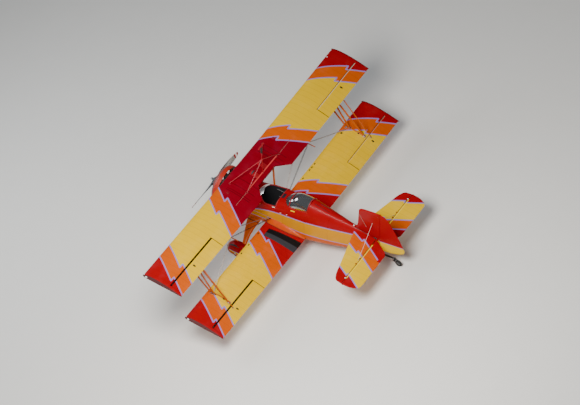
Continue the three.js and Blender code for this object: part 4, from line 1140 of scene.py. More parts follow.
turned(bm, [(0, -1.200), (0.016, -1.199), (0.028, -1.194), (0.040, -1.182), (0.046, -1.166),
            (0.047, -1.110), (0.055, -1.106), (0.055, -1.096), (0.070, -1.090), (0.090, -1.082),
            (0.095, -1.074), (0.095, -0.996), (0.088, -0.988), (0.060, -0.982), (0.058, -0.9655),
            (0, -0.9655)], thrust_place, sides=48)
for i in range(8):
    seat = around(8, i + 0.5, 0.066, -1.086)
    rod(bm, seat.translation + Vector((0, -0.014, 0)), seat.translation, 0.007, sides=6)
for side in (1, -1):
    collar = shift(THRUST) @ roll("Y", side * math.pi / 2)
    turned(bm, [(0.050, 0.080), (0.060, 0.080), (0.062, 0.105), (0.058, 0.128), (0.049, 0.132)],
           collar, sides=32)
publish("propeller_hub_machined", bm, polished_aluminium, ["propeller_hub"],
        "propeller", 30)

# %% [markdown]
# ## Struts and wires
# Streamlined steel tubes, fat in front and thin behind, hold the wings apart. Each ends in a
# bolted plate at the spar. Flat-sided wires, in pairs, cross the bays and are held tight.

# %% Streamlined struts
FRONT_SPAR, REAR_SPAR, STRUT_X = 0.180, 0.850, 4.000


def strut(bm, foot, head, chord, thickness, taper=0.72, sides=20):
    """A streamlined tube whose wide way points aft, with its ends necked in a little."""
    foot, head = Vector(foot), Vector(head)
    axis = (head - foot).normalized()
    across = Vector((0, 1, 0)).cross(axis).normalized()
    wide = axis.cross(across)
    rows = []
    for share, size in ((0, taper), (0.03, taper), (0.09, 1), (0.91, 1), (0.97, taper), (1, taper)):
        middle = foot.lerp(head, share)
        row = []
        for a in angles(sides):
            along_chord = -math.cos(a)
            bulge = math.sin(a) * (1 - 0.35 * along_chord)
            row.append(middle + size * (wide * along_chord * chord / 2
                                        + across * bulge * thickness / 2))
        rows.append(row)
    skin_over(bm, rows)


def on_wing(plane, side, x, y, z):
    return wing_place(plane, side) @ Vector((x * side, y, z))


STRUTS = [
    # name, upper spar place, lower spar place
    ("front", FRONT_SPAR, FRONT_SPAR),
    ("diagonal", REAR_SPAR - 0.095, FRONT_SPAR + 0.110),
    ("rear", REAR_SPAR, REAR_SPAR),
]
for hand, side in HANDS:
    for name, above, below in STRUTS:
        bm = bmesh.new()
        head = on_wing("upper", side, STRUT_X, above, wing_skin(above, -1) + 0.004)
        foot = on_wing("lower", side, STRUT_X, below, wing_skin(below, 1) - 0.004)
        strut(bm, foot, head, 0.086, 0.034)
        publish(f"interplane_{name}_{hand}_tube", bm, orange_enamel,
                [f"interplane_{name}_{hand}"])

# %% Strut fittings: a plate on the wing and a pair of bolted cheeks
bm = bmesh.new()
for side in (1, -1):
    for _, above, below in STRUTS:
        for plane, y, face in (("upper", above, -1), ("lower", below, 1)):
            slope = roll("X", math.atan2(wing_skin(y + 0.05, face) - wing_skin(y - 0.05, face), 0.1))
            seat = wing_place(plane, side) @ shift((side * STRUT_X, y, wing_skin(y, face))) @ slope
            block(bm, (0, 0, face * 0.0025), (0.085, 0.12, 0.005), seat, bevel=0.002, segments=1)
            for x in (-0.022, 0.022):
                block(bm, (x, 0, face * 0.030), (0.006, 0.062, 0.056), seat, bevel=0.002, segments=1)
            rod(bm, (-0.032, 0, face * 0.038), (0.032, 0, face * 0.038), 0.0075, sides=6, place=seat)
            for x, at in ((-0.034, -0.046), (0.034, -0.046), (-0.034, 0.046), (0.034, 0.046)):
                rod(bm, (x, at, face * 0.002), (x, at, face * 0.012), 0.006, sides=6, place=seat)
publish("strut_fittings", bm, satin_aluminium, sharp=30)

# %% A bar along the wing between the struts' feet
FOOT_BAR = {"x": 3.985, "rise": 0.030, "radius": 0.017, "front": 0.210, "rear": 0.900}
bm = bmesh.new()
for side in (1, -1):
    tube(bm, [on_wing("lower", side, FOOT_BAR["x"], y, wing_skin(y, 1) + FOOT_BAR["rise"])
              for y in spaced(FOOT_BAR["front"], FOOT_BAR["rear"], 0.07)], FOOT_BAR["radius"])
publish("strut_foot_bars", bm, orange_enamel)

# %% Struts that carry the centre section on the fuselage
CABANES = [
    ("front", (0.440, 0.330, -1.020), (0.620, FRONT_SPAR + 0.02, 0.012)),
    ("rear", (0.425, 1.010, -1.000), (0.620, REAR_SPAR, -0.076)),
]
for hand, side in HANDS:
    for name, foot, head in CABANES:
        bm = bmesh.new()
        strut(bm, (foot[0] * side, *foot[1:]), (head[0] * side, *head[1:]), 0.074, 0.032, taper=0.85)
        publish(f"cabane_{name}_{hand}_tube", bm, orange_enamel,
                [f"cabane_{name}_{hand}"])

# %% Aileron push-rods, with fork ends on their pins
PUSHROD = {"x": 4.090, "lower": 0.050, "upper": 0.200, "height": 0.034}
EYES = (-0.0125, 0.0125)


def pushrod_pin(plane, side):
    face = 1 if plane == "lower" else -1
    y = HINGE + PUSHROD[plane]
    return on_wing(plane, side, PUSHROD["x"], y, wing_skin(y, face) + face * PUSHROD["height"])


for hand, side in HANDS:
    low, high = pushrod_pin("lower", side), pushrod_pin("upper", side)
    ahead = (high - low).normalized()
    bm = bmesh.new()
    tube(bm, [low + ahead * 0.052, low + ahead * 0.11, high - ahead * 0.12, high - ahead * 0.062],
         0.011, sides=16)
    strut(bm, low + ahead * 0.10, high - ahead * 0.11, 0.044, 0.027, taper=0.5)
    rod(bm, low + ahead * 0.034, low + ahead * 0.056, 0.008, sides=6)
    rod(bm, high - ahead * 0.0105, high - ahead * 0.066, 0.0075, sides=8)
    for eye in [low + Vector((x, 0, 0)) for x in EYES]:
        bmesh.ops.create_cone(bm, cap_ends=True, segments=16, radius1=0.015, radius2=0.015,
                              depth=0.004, matrix=shift(eye) @ roll("Y", math.pi / 2))
        rod(bm, eye, eye + ahead * 0.040, 0.0045, sides=6)
    publish(f"aileron_pushrod_{hand}_tube", bm, orange_enamel,
            [f"aileron_pushrod_{hand}"], f"{hand}_pushrod")
    for plane, face in (("lower", 1), ("upper", -1)):
        y = HINGE + PUSHROD[plane]
        base = wing_place(plane, side) @ shift((PUSHROD["x"] * side, y, wing_skin(y, face)))
        pin = (0, 0, face * PUSHROD["height"])
        bm = bmesh.new()
        rod(bm, (-0.018, *pin[1:]), (0.018, *pin[1:]), 0.009, place=base)
        rod(bm, (0, 0, -face * 0.004), pin, 0.014, 0.008, place=base)
        block(bm, (0, 0, face * 0.001), (0.05, 0.06, 0.006), base, bevel=0.002, segments=1)
        publish(f"{plane}_aileron_{hand}_horn", bm, satin_aluminium,
                body=f"{plane}_{hand}_aileron", sharp=30)

# %% Paired wires, and a spreader where they cross
WIRES = [
    # name, where it starts and where it ends, for one side
    ("flying_wire", lambda s: Vector((s * 0.400, 1.357, -1.455)),
     lambda s: on_wing("upper", s, STRUT_X - 0.09, FRONT_SPAR, wing_skin(FRONT_SPAR, -1))),
    ("landing_wire", lambda s: on_wing("upper", s, 1.010, REAR_SPAR - 0.04, wing_skin(0.81, -1)),
     lambda s: on_wing("lower", s, STRUT_X - 0.09, FRONT_SPAR + 0.03, wing_skin(0.21, 1))),
    ("rear_flying_wire", lambda s: Vector((s * 0.405, 1.420, -1.455)),
     lambda s: on_wing("upper", s, STRUT_X - 0.09, REAR_SPAR, wing_skin(REAR_SPAR, -1))),
]
SOLID_WIRES = ("flying_wire", "landing_wire")
WIRE_APART, WIRE_RADIUS = 0.026, 0.0060
# The rear flying wires take the painted shade; the front flying and landing wires take the painted light.
WIRE_LIGHT_AND_SHADE = {"flying_wire": wire_painted_light, "landing_wire": wire_painted_light, "rear_flying_wire": wire_painted_shade}
SPREADER_AT, SPREADER_OUT, SPREADER_RADIUS = 0.53, (0.08, 0.27), 0.016
for hand, side in HANDS:
    for name, start, end in WIRES:
        first, last = start(side), end(side)
        ahead = (last - first).normalized()
        apart = Vector((0, 1, 0)).cross(ahead).cross(ahead).normalized() * (WIRE_APART / 2)
        bm = bmesh.new()
        for offset in (apart, -apart):
            tube(bm, [first + offset, first.lerp(last, 0.5) + offset, last + offset], WIRE_RADIUS,
                 sides=8, flat=0.6)
            for point, direction in ((first, 1), (last, -1)):
                step = ahead * direction
                rod(bm, point + offset + step * 0.02, point + offset + step * 0.14, 0.009, sides=8)
        publish(f"{name}_{hand}_pair", bm, WIRE_LIGHT_AND_SHADE[name],
                [f"{name}_{hand}"] if name in SOLID_WIRES else ())
    front, rear = [WIRES[i][1](side).lerp(WIRES[i][2](side), SPREADER_AT) for i in (0, 2)]
    front.y, rear.y = front.y - SPREADER_OUT[0], rear.y + SPREADER_OUT[1]
    bm = bmesh.new()
    tube(bm, [front.lerp(rear, k / 6) for k in range(7)], SPREADER_RADIUS, sides=12)
    publish(f"wire_spreader_{hand}", bm, orange_enamel)

# %% [markdown]
# ## Landing gear
# Each main wheel turns inside a moulded pant at the end of a broad flat leg. The pant is a row
# of sections like the fuselage's, hollowed for the tyre and open below it.

# %% Wheel pants
PANT_SECTIONS = [
    # y, half width, top, middle, bottom, squareness above, squareness below
    (0.195, 0.040, -2.740, -2.770, -2.800, 2.3, 4), (0.235, 0.095, -2.660, -2.765, -2.870, 2.3, 4),
    (0.312, 0.155, -2.555, -2.7425, -2.930, 2.3, 4), (0.450, 0.180, -2.440, -2.6975, -2.955, 2.3, 4),
    (0.600, 0.186, -2.405, -2.6835, -2.962, 2.3, 4), (0.780, 0.178, -2.420, -2.6775, -2.935, 2.3, 4),
    (0.960, 0.156, -2.480, -2.680, -2.880, 2.3, 4), (1.160, 0.110, -2.540, -2.665, -2.790, 2.3, 4),
    (1.340, 0.055, -2.615, -2.6625, -2.710, 2.3, 4), (1.440, 0.014, -2.660, -2.6725, -2.685, 2.3, 4),
]
TRACK_HALF = 1.220
PANT_LINE_Z, PANT_LINE_AT, PANT_LINE_RISE = -2.71, 0.35, 0.06
PANT_YELLOW, PANT_SIDE, PANT_BANDS_AT = 0.06, 0.055, 0.36
AXLE = Vector((0, 0.600, -2.780))
WELL = [(0, -0.132), (0.250, -0.132), (0.310, -0.100), (0.338, -0.045), (0.338, 0.045),
        (0.310, 0.100), (0.250, 0.132), (0, 0.132)]


def sideways_at(centre):
    """A place whose Z runs out along X, for things that turn on an axle."""
    return shift(centre) @ roll("Y", math.pi / 2)


def pant_livery(across, aft_of, height):
    """Red above, and on each side lavender, yellow and orange below a line that rises aft."""
    line = height - PANT_LINE_Z - (aft_of - PANT_LINE_AT) * PANT_LINE_RISE
    colour = blend(line.under(0), RED, YELLOW)
    colour = blend(line.under(-PANT_YELLOW), colour, ORANGE)
    colour = blend(line.within(0.012), colour, LAVENDER)
    on_side = (across.size() - TRACK_HALF).size().over(PANT_SIDE)
    return blend(aft_of.over(PANT_BANDS_AT) * on_side, RED, colour)


pant_enamel = enamel("pant_gloss_enamel", pant_livery)
for hand, side in HANDS:
    hub = AXLE + Vector((side * TRACK_HALF, 0, 0))
    bm = bmesh.new()
    skin_over(bm, [superellipse(curve_through(PANT_SECTIONS, y), count=48, centre=side * TRACK_HALF)
                   for y in [0.195, 0.205, 0.22, *spaced(0.24, 1.42, 0.04), 1.44]])
    well = bmesh.new()
    turned(well, WELL, sideways_at(hub), sides=56)
    mouth = bmesh.new()
    block(mouth, hub + Vector((0, 0, -0.25)), (0.240, 0.656, 0.5))
    bm = carve(bm, [well, mouth])
    rod(bm, hub + Vector((-0.15, 0, 0)), hub + Vector((0.15, 0, 0)), 0.0385, sides=24)
    publish(f"wheel_pant_{hand}_shell", bm, pant_enamel, [f"wheel_pant_{hand}"],
            # The pant's well is near black: painted shade inside it.
            inner=black_paint_and_shade,
            is_inner=lambda p: abs(p.x - hub.x) < 0.134 and (p - hub).yz.length < 0.337)
    bm = bmesh.new()
    for outward in (1, -1):
        cap = sideways_at(hub + Vector((outward * 0.182, 0, 0)))
        turned(bm, [(0, outward * 0.008), (0.030, outward * 0.007), (0.040, outward * 0.002),
                    (0.042, outward * -0.010), (0, outward * -0.010)], cap, sides=28)
        for a in angles(6):
            seat = hub + Vector((outward * 0.183, 0.033 * math.cos(a), 0.033 * math.sin(a)))
            rod(bm, seat, seat + Vector((outward * 0.007, 0, 0)), 0.0045, sides=6)
    rod(bm, hub + Vector((0, -0.415, 0.012)), hub + Vector((0, -0.392, 0.012)), 0.006, sides=8)
    publish(f"axle_caps_{hand}", bm, satin_aluminium, sharp=30)

# %% Legs: flat fairings over steel legs, with a cuff at each end
LEG_STATIONS = [
    # x, z, front, rear, thickness
    (0.300, -1.940, 0.430, 0.960, 0.165), (0.350, -1.975, 0.448, 0.940, 0.145),
    (0.440, -2.040, 0.478, 0.908, 0.126), (0.620, -2.160, 0.530, 0.860, 0.108),
    (0.800, -2.275, 0.590, 0.835, 0.098), (1.000, -2.400, 0.670, 0.850, 0.090),
    (1.120, -2.478, 0.705, 0.858, 0.086), (1.170, -2.512, 0.700, 0.865, 0.092),
    (1.205, -2.535, 0.680, 0.880, 0.112),
]
LEG_LEAN, LEG_LINE_X = math.radians(57), 1.150


def leg_livery(across, aft_of, height):
    """Orange, with a thin red line round the cuff at the pant."""
    return blend((across.size() - LEG_LINE_X).within(0.012), ORANGE, RED)


def leg_ring(side, x, z, front, rear, thick):
    """One section of a leg, square to the way it leans."""
    ring = []
    for a in angles(28):
        along_chord = -math.cos(a)
        t = thick / 2 * math.sin(a) * (1 - 0.3 * along_chord)
        ring.append(Vector((side * (x + t * math.cos(LEG_LEAN)),
                            (front + rear) / 2 + (rear - front) / 2 * along_chord,
                            z + t * math.sin(LEG_LEAN))))
    return ring


leg_enamel = enamel("leg_gloss_enamel", leg_livery)
for hand, side in HANDS:
    bm = bmesh.new()
    skin_over(bm, [leg_ring(side, *station) for station in LEG_STATIONS])
    publish(f"gear_leg_{hand}_fairing", bm, leg_enamel, [f"gear_leg_{hand}"])

# %% A rubber boot round each leg's root
BOOT_AT, BOOT_RADIUS = 2, 0.011
bm = bmesh.new()
for side in (1, -1):
    tube(bm, leg_ring(side, *LEG_STATIONS[BOOT_AT]), BOOT_RADIUS, sides=8, closed=True)
publish("leg_root_boots", bm, tyre_rubber)

# %% Fillets where the lower wing meets the fuselage
FILLET_REACH = [
    # y behind the leading edge, half width that it reaches
    (0.004, 0.560), (0.100, 0.640), (0.300, 0.668), (0.520, 0.668), (0.850, 0.630),
    (1.040, 0.585), (1.330, 0.500), (1.412, 0.470),
]
FILLET_RISE, FILLET_SINK, FILLET_STEPS = 0.060, 0.030, 7
# The fillets are a darker orange than the fuselage's: painted shade.
fillet_shaded_enamel = enamel("fillet_painted_shade_enamel", lambda *place: linear("B84200"))


def fillet_row(y, side):
    """From the fuselage down a hollow curve to the wing, and back inside both."""
    reach = curve_through(FILLET_REACH, y)[1]
    foot = on_wing("lower", 1, reach, y, wing_skin(y, 1) + 0.002)
    root = on_wing("lower", 1, 0.46, y, wing_skin(y, 1))
    top = root.z + FILLET_RISE * min(1, 0.2 + y / 0.15)
    wall = hull_side(root.y, top)
    head = Vector((wall + 0.001, root.y, top))
    bend_at = Vector((wall + 0.3 * (reach - wall), root.y, root.z + 0.25 * (top - root.z)))
    row = []
    for k in range(FILLET_STEPS + 1):
        t = k / FILLET_STEPS
        row.append(head * (1 - t) ** 2 + bend_at * (2 * t * (1 - t)) + foot * t ** 2)
    row += [foot - Vector((0, 0, FILLET_SINK)), Vector((wall - 0.03, root.y, root.z - FILLET_SINK)),
            Vector((wall - 0.03, root.y, top))]
    return [Vector((p.x * side, p.y, p.z)) for p in row]


for hand, side in HANDS:
    fillet_rows = [fillet_row(y, side) for y in spaced(0.004, 1.412, 0.055)]
    bm = bmesh.new()
    skin_over(bm, fillet_rows)
    publish(f"wing_root_fillet_{hand}", bm, fillet_shaded_enamel)
    # A black tube along each fillet's foot stands in for the shade line at the joint: painted shade.
    bm = bmesh.new()
    tube(bm, [row[FILLET_STEPS] for row in fillet_rows], 0.009, sides=8)
    publish(f"wing_root_shade_line_{hand}", bm, tyre_rubber)

# %% Wheels: a treaded tyre on a cast hub
def wheel(name, body, centre, radius, width, bore):
    """Tyre and hub as two turned pieces, the tyre with round ribs in its tread."""
    w = width / 2
    tread = [(radius - 0.0012 * (k % 2) * radius / 0.12, w * (-0.30 + 0.60 * k / 8))
             for k in range(9)]
    side_wall = [(radius * 0.52, 0.70), (radius * 0.60, 0.90), (radius * 0.72, 0.99),
                 (radius * 0.82, 0.95), (radius * 0.91, 0.78), (radius * 0.965, 0.52)]
    tyre = ([(r, -at * w) for r, at in side_wall] + [(r, at) for r, at in tread]
            + [(r, at * w) for r, at in reversed(side_wall)])
    bm = bmesh.new()
    turned(bm, [*tyre, tyre[0]], sideways_at(centre), sides=72)
    publish(f"{name}_tyre", bm, tyre_rubber, [name], body, 50)
    hub = [(bore, -0.55), (bore + radius * 0.08, -0.55), (bore + radius * 0.10, -0.42),
           (radius * 0.34, -0.40), (radius * 0.40, -0.50), (radius * 0.50, -0.66),
           (radius * 0.535, -0.72), (radius * 0.525, -0.60)]
    ring = [(r, at * w) for r, at in hub] + [(r, -at * w) for r, at in reversed(hub)]
    bm = bmesh.new()
    turned(bm, [*ring, ring[0]], sideways_at(centre), sides=48)
    for a in angles(8):
        a += math.pi / 8
        spot = centre + Vector((0, radius * 0.26 * math.cos(a), radius * 0.26 * math.sin(a)))
        bolt = Vector((w * 0.47, 0, 0))
        rod(bm, spot - bolt, spot + bolt, radius * 0.022, sides=6)
    publish(f"{name}_hub", bm, cast_aluminium, body=body, sharp=30)


for hand, side in HANDS:
    hub_at = AXLE + Vector((side * TRACK_HALF, 0, 0))
    wheel(f"wheel_{hand}", f"{hand}_wheel", hub_at, 0.320, 0.216, 0.040)
TAIL_AXLE = Vector((0, 5.950, -1.262))
wheel("tail_wheel", "tail_wheel_body", TAIL_AXLE, 0.118, 0.080, 0.015)

# %% Tail-wheel spring and steering fork
SWIVEL = Vector((0, 5.800, -1.150))
steer_up = Vector((0, -math.sin(PARKED_TILT), math.cos(PARKED_TILT)))
post = shift(SWIVEL) @ facing(steer_up)
bm = bmesh.new()
LEAVES = [(4.70, -1.290, 0.066, 0.034), (5.20, -1.205, 0.066, 0.032), (5.56, -1.150, 0.060, 0.026),
          (5.774, -1.128, 0.050, 0.014)]
skin_over(bm, [superellipse((y, wide / 2, z + deep / 2, z, z - deep / 2, 6, 6), count=24)
               for y, z, wide, deep in LEAVES])
skin_over(bm, [superellipse((y, wide / 2, z - 0.011, z - 0.017, z - 0.023, 6, 6), count=24)
               for y, z, wide in ((4.72, -1.286, 0.056), (5.15, -1.213, 0.054), (5.42, -1.171, 0.05))])
for y, z in ((4.86, -1.262), (5.30, -1.190)):
    block(bm, (0, y, z - 0.004), (0.074, 0.026, 0.042), bevel=0.004, segments=1)
turned(bm, [(0, 0.008), (0.024, 0.008), (0.026, 0.012), (0.026, 0.058), (0.022, 0.062), (0.010, 0.066),
            (0, 0.066)], post, sides=28)
publish("tail_spring_leaves", bm, gear_black, ["tail_spring"])
bm = bmesh.new()
turned(bm, [(0, 0.0077), (0.030, 0.0077), (0.030, -0.010), (0.026, -0.016), (0.026, -0.034),
            (0, -0.034)], post, sides=28)
block(bm, SWIVEL + Vector((0, 0.010, -0.022)), (0.120, 0.080, 0.024), bevel=0.006)
for side in (1, -1):
    strut(bm, TAIL_AXLE + Vector((side * 0.054, 0, 0)), SWIVEL + Vector((side * 0.054, 0, -0.022)),
          0.040, 0.012, taper=0.95, sides=16)
    turned(bm, [(0, 0.010 * side), (0.011, 0.010 * side), (0.013, 0.004 * side), (0.013, -0.004 * side),
                (0, -0.004 * side)], sideways_at(TAIL_AXLE + Vector((side * 0.062, 0, 0))), sides=6)
    block(bm, SWIVEL + Vector((side * 0.062, -0.012, -0.014)), (0.044, 0.022, 0.006), bevel=0.002,
          segments=1)
rod(bm, TAIL_AXLE + Vector((-0.058, 0, 0)), TAIL_AXLE + Vector((0.058, 0, 0)), 0.0138, sides=16)
publish("tail_fork_forged", bm, gear_black, ["tail_fork"], "tail_wheel_fork")

# %% [markdown]
# ## Tail
# Flat welded frames with thin covers: a fin with a tall rudder behind it, and a tailplane with
# an elevator in one piece. Each has a round leading edge and a thin trailing edge, so the
# sections taper aft like a wing's do, and each moving surface has a round nose on its hinge.

# %% Outlines of the tail surfaces
TAIL_THICK = 0.056
STABILIZER_Z = -0.535
ELEVATOR_HINGE, RUDDER_HINGE = 5.195, 5.290


def bend(points, control, end, count=6):
    """Carries an outline on to its end in a smooth curve, pulled at one control point."""
    curve = []
    for k in range(count + 1):
        t = k / count
        curve.append(tuple((1 - t) ** 2 * a + 2 * t * (1 - t) * b + t * t * c
                           for a, b, c in zip(points[-1], control, end)))
    return points + curve


STAB_FRONT = bend([(0.000, 4.368), (0.160, 4.385), (1.530, 4.725)], (1.990, 4.800), (2.070, 4.940), 8)
STAB_FRONT += [(2.085, 5.020), (2.110, 5.159)]
ELEVATOR_REAR = bend([(0.095, 5.252), (0.400, 5.745), (1.860, 5.745)], (2.000, 5.740), (2.060, 5.560))
ELEVATOR_REAR = bend(ELEVATOR_REAR, (2.130, 5.420), (2.115, 5.200))
FIN_FRONT = bend([(-0.560, 4.330), (-0.400, 4.330)], (-0.330, 4.430), (-0.230, 4.450), 8)
FIN_FRONT = bend([*FIN_FRONT, (0.480, 4.505)], (0.590, 4.520), (0.620, 4.640))
FIN_FRONT += [(0.664, 4.850), (0.700, 5.020), (0.735, 5.2535)]
RUDDER_REAR = bend([(-1.010, 5.292), (-0.955, 5.600)], (-0.880, 5.850), (-0.745, 6.080))
RUDDER_REAR = bend(RUDDER_REAR, (-0.640, 6.215), (-0.490, 6.165))
RUDDER_REAR = bend([*RUDDER_REAR, (-0.090, 5.985)], (0.270, 5.790), (0.570, 5.605), 10)
RUDDER_REAR = bend(RUDDER_REAR, (0.740, 5.490), (0.740, 5.296))


def reach_at(outline, at):
    """The outline's chordwise place at one place across it."""
    for (a, c), (b, d) in zip(outline, outline[1:]):
        if min(a, b) - 1e-9 <= at <= max(a, b) + 1e-9 and abs(b - a) > 1e-9:
            return c + (d - c) * (at - a) / (b - a)
    return outline[-1][1] if at > outline[-1][0] else outline[0][1]


TAIL_RIB, TAIL_HOLLOW, TAIL_EDGE = 0.26, 0.0012, 0.0012


def flat_surface(spans, front, rear, nose_round, to_point):
    """A thin surface across its spans: half thickness full at the hinge, thin at the free edge."""
    steps = [(1 - math.cos(math.pi * k / 14)) / 2 for k in range(15)]
    rows = []
    for index, at in enumerate(spans):
        start, end = front(at), rear(at)
        length = max(end - start, 0.004)
        edge = min((at - spans[0]), (spans[-1] - at))
        round_off = min(1, math.sqrt(edge / 0.045) * 0.55 + 0.45)
        sink = TAIL_HOLLOW * (index % 2)
        half = []
        for s in steps:
            share = min(1, math.sqrt(s * length / 0.055)) if nose_round else 1 - 0.86 * s
            thick = TAIL_THICK / 2 * share - sink * (0.1 < s < 0.95)
            half.append((start + length * s, max(thick * round_off, TAIL_EDGE)))
        rows.append([to_point(at, y, h) for y, h in half]
                    + [to_point(at, y, -h) for y, h in reversed(half)])
    return rows


# A pale yellow line just ahead of the elevator's hinge is a painted highlight, and a dark line at its gap
# is painted shade.
HINGE_HIGHLIGHT, HINGE_SHADE = linear("FFE038"), linear("3A2A10")
TAIL_FRONT_Y, HIGHLIGHT_Y, SHADE_Y, HIGHLIGHT_FROM, HINGE_LIGHT_TO = 4.37, 5.180, 5.150, 0.30, 1.86
TAB_FROM, TAB_TO, TAB_Y = 0.39, 0.79, 5.64
HEEL_Z, HEEL_AT, HEEL_RISE = -0.57, 5.27, 0.165


def tail_livery(across, aft_of, height):
    """The bands, a red trim tab, and a painted highlight and a painted shade along the elevator's hinge.
    """
    colour = banded(across, aft_of - TAIL_FRONT_Y, RED, TAIL_BORDERS)
    tab = across.between(TAB_FROM, TAB_TO) * aft_of.over(TAB_Y)
    outboard = across.size()
    # Painted highlight along the hinge.
    tape = (aft_of - HIGHLIGHT_Y).within(0.024) * outboard.between(HIGHLIGHT_FROM, HINGE_LIGHT_TO)
    colour = blend(tape * 0.7, blend(tab, colour, RED), HINGE_HIGHLIGHT)
    shade = (aft_of - SHADE_Y).within(0.008) * outboard.under(HINGE_LIGHT_TO)
    return blend(shade * 0.7, colour, HINGE_SHADE)


def tail_rises(across, aft_of, height):
    return across.size().near_multiple(TAIL_RIB, 0.012) * 0.6


def fin_livery(across, aft_of, height):
    """Red, with a yellow heel to the rudder below a lavender line."""
    line = height - HEEL_Z - (aft_of - HEEL_AT) * HEEL_RISE
    on_rudder = aft_of.over(HEEL_AT - 0.02)
    colour = blend(line.under(0) * on_rudder, RED, YELLOW)
    return blend(line.within(0.012) * on_rudder, colour, LAVENDER)


def fin_rises(across, aft_of, height):
    return height.near_multiple(TAIL_RIB, 0.012) * 0.6


tail_enamel = enamel("tailplane_gloss_enamel", tail_livery, tape_dust, tail_rises)
fin_enamel = enamel("fin_gloss_enamel", fin_livery, None, fin_rises)

# %% Tailplane and elevator
TAIL_GAP = TAIL_THICK / 2 + 0.008


def rib_spans(start, end, extra=()):
    return sorted({round(s, 4) for s in [*spaced(start, end, TAIL_RIB / 2), *extra]})


for hand, side in HANDS:
    bm = bmesh.new()
    skin_over(bm, flat_surface(
        rib_spans(0.0285, 1.98, (2.02, 2.05, 2.068, 2.08, 2.09, 2.10, 2.108)),
        lambda x: reach_at(STAB_FRONT, x), lambda x: ELEVATOR_HINGE - TAIL_GAP, True,
        lambda x, y, h: Vector((side * x, y, STABILIZER_Z + h))))
    publish(f"stabilizer_{hand}_skin", bm, tail_enamel, [f"stabilizer_{hand}"],
            sharp=40)
bm = bmesh.new()
for side in (1, -1):
    skin_over(bm, flat_surface(
        rib_spans(0.100, 1.86, (0.11, 0.15, 1.93, 1.98, 2.02, 2.05, 2.07, 2.09, 2.10, 2.112)),
        lambda x: ELEVATOR_HINGE, lambda x: reach_at(ELEVATOR_REAR, x), False,
        lambda x, y, h: Vector((side * x, y, STABILIZER_Z + h))))
    turned(bm, [(0, 0.0975), (TAIL_THICK / 2, 0.0975), (TAIL_THICK / 2, 2.110), (0, 2.113)],
           sideways_at((0, ELEVATOR_HINGE, STABILIZER_Z)) @ Matrix.Scale(side, 4, (0, 0, 1)), sides=28)
rod(bm, (-0.12, ELEVATOR_HINGE, STABILIZER_Z), (0.12, ELEVATOR_HINGE, STABILIZER_Z), 0.022, sides=20)
publish("elevator_skin", bm, tail_enamel, ["elevator"], "elevator_body", 40)

# %% Fin and rudder
bm = bmesh.new()
skin_over(bm, flat_surface(
    rib_spans(-0.555, 0.48, (0.52, 0.56, 0.59, 0.62, 0.65, 0.68, 0.70, 0.72, 0.732)),
    lambda z: reach_at(FIN_FRONT, z), lambda z: RUDDER_HINGE - TAIL_GAP, True,
    lambda z, y, h: Vector((h, y, z))))
publish("fin_skin", bm, fin_enamel, ["fin"], sharp=40)
bm = bmesh.new()
skin_over(bm, flat_surface(
    rib_spans(-0.94, 0.55, (-1.005, -0.99, -0.97, 0.60, 0.64, 0.67, 0.70, 0.72, 0.736)),
    lambda z: RUDDER_HINGE, lambda z: reach_at(RUDDER_REAR, z), False,
    lambda z, y, h: Vector((h, y, z))))
turned(bm, [(0, -1.007), (TAIL_THICK / 2, -1.005), (TAIL_THICK / 2, 0.735), (0, 0.737)],
       shift((0, RUDDER_HINGE, 0)), sides=28)
publish("rudder_skin", bm, fin_enamel, ["rudder"], "rudder_body", 40)

# %% Lips on the fin that close its gap to the rudder
GAP_LIP = [(5.236, 0.026, 0.030), (5.254, 0.0285, 0.0325), (5.278, 0.030, 0.0325)]
LIP_FOOT, LIP_TOP = -0.48, 0.71
bm = bmesh.new()
for side in (1, -1):
    skin_over(bm, [[(side * x, y, z) for x, z in ((near, LIP_FOOT), (far, LIP_FOOT),
                                                  (far, LIP_TOP), (near, LIP_TOP))]
                   for y, near, far in GAP_LIP])
publish("fin_gap_lips", bm, fin_enamel, sharp=30)

# %% Tail struts
for hand, side in HANDS:
    bm = bmesh.new()
    strut(bm, (side * 0.120, 4.7105, -1.282), (side * 1.050, 4.880, STABILIZER_Z - 0.027), 0.044, 0.020)
    publish(f"tail_strut_{hand}_tube", bm, orange_enamel, [f"tail_strut_{hand}"])

# %% [markdown]
# ## Canopy and windscreens
# The glass over the pilot is one blown sheet in a painted metal frame, hinged along its right
# side. A fixed screen stands in front of it, and the front cockpit has a low curved screen.
# Both glass pieces come from the same dome sections, so they line up.

# %% Glass
DOME_SECTIONS = [
    # y, half width, sill, crown
    (1.780, 0.120, -0.700, -0.600), (1.880, 0.250, -0.700, -0.500), (2.020, 0.318, -0.700, -0.385),
    (2.260, 0.335, -0.680, -0.230), (2.500, 0.332, -0.650, -0.190), (2.744, 0.322, -0.610, -0.200),
]
BOW, LAST, CANOPY_EDGE = 2.030, 2.744, 0.030
GLASS_THICK, FRAME_THICK = 0.005, 0.013


def glazing(name, tint, roughness, haze):
    """Thin acrylic: clear straight on and mirror-like at a slant, with a haze of fine scuffs."""
    material, tree = new_material(name)
    vector, _ = airframe_fields(tree)
    smear = clouds(tree, vector, 160)
    facing = add(tree, "ShaderNodeFresnel", {"IOR": 1.5})
    sheen = Field(tree, facing.outputs[0]) * 1.5 + smear * 0.10 + haze
    clear = add(tree, "ShaderNodeBsdfTransparent", {"Color": linear(tint)})
    mirror = add(tree, "ShaderNodeBsdfGlossy", {"Color": linear("FFFFFF"),
                                                "Roughness": smear * 0.06 + roughness})
    both = add(tree, "ShaderNodeMixShader", {0: sheen.least(1), 1: clear.outputs[0],
                                             2: mirror.outputs[0]})
    close_material(tree, both)
    return material


canopy_glass = glazing("smoked_acrylic", "B4C2C2", 0.05, 0.24)
screen_glass = glazing("clear_acrylic", "CBD8D8", 0.05, 0.20)
hazy_glass = glazing("scuffed_acrylic", "E6CFD0", 0.22, 0.55)


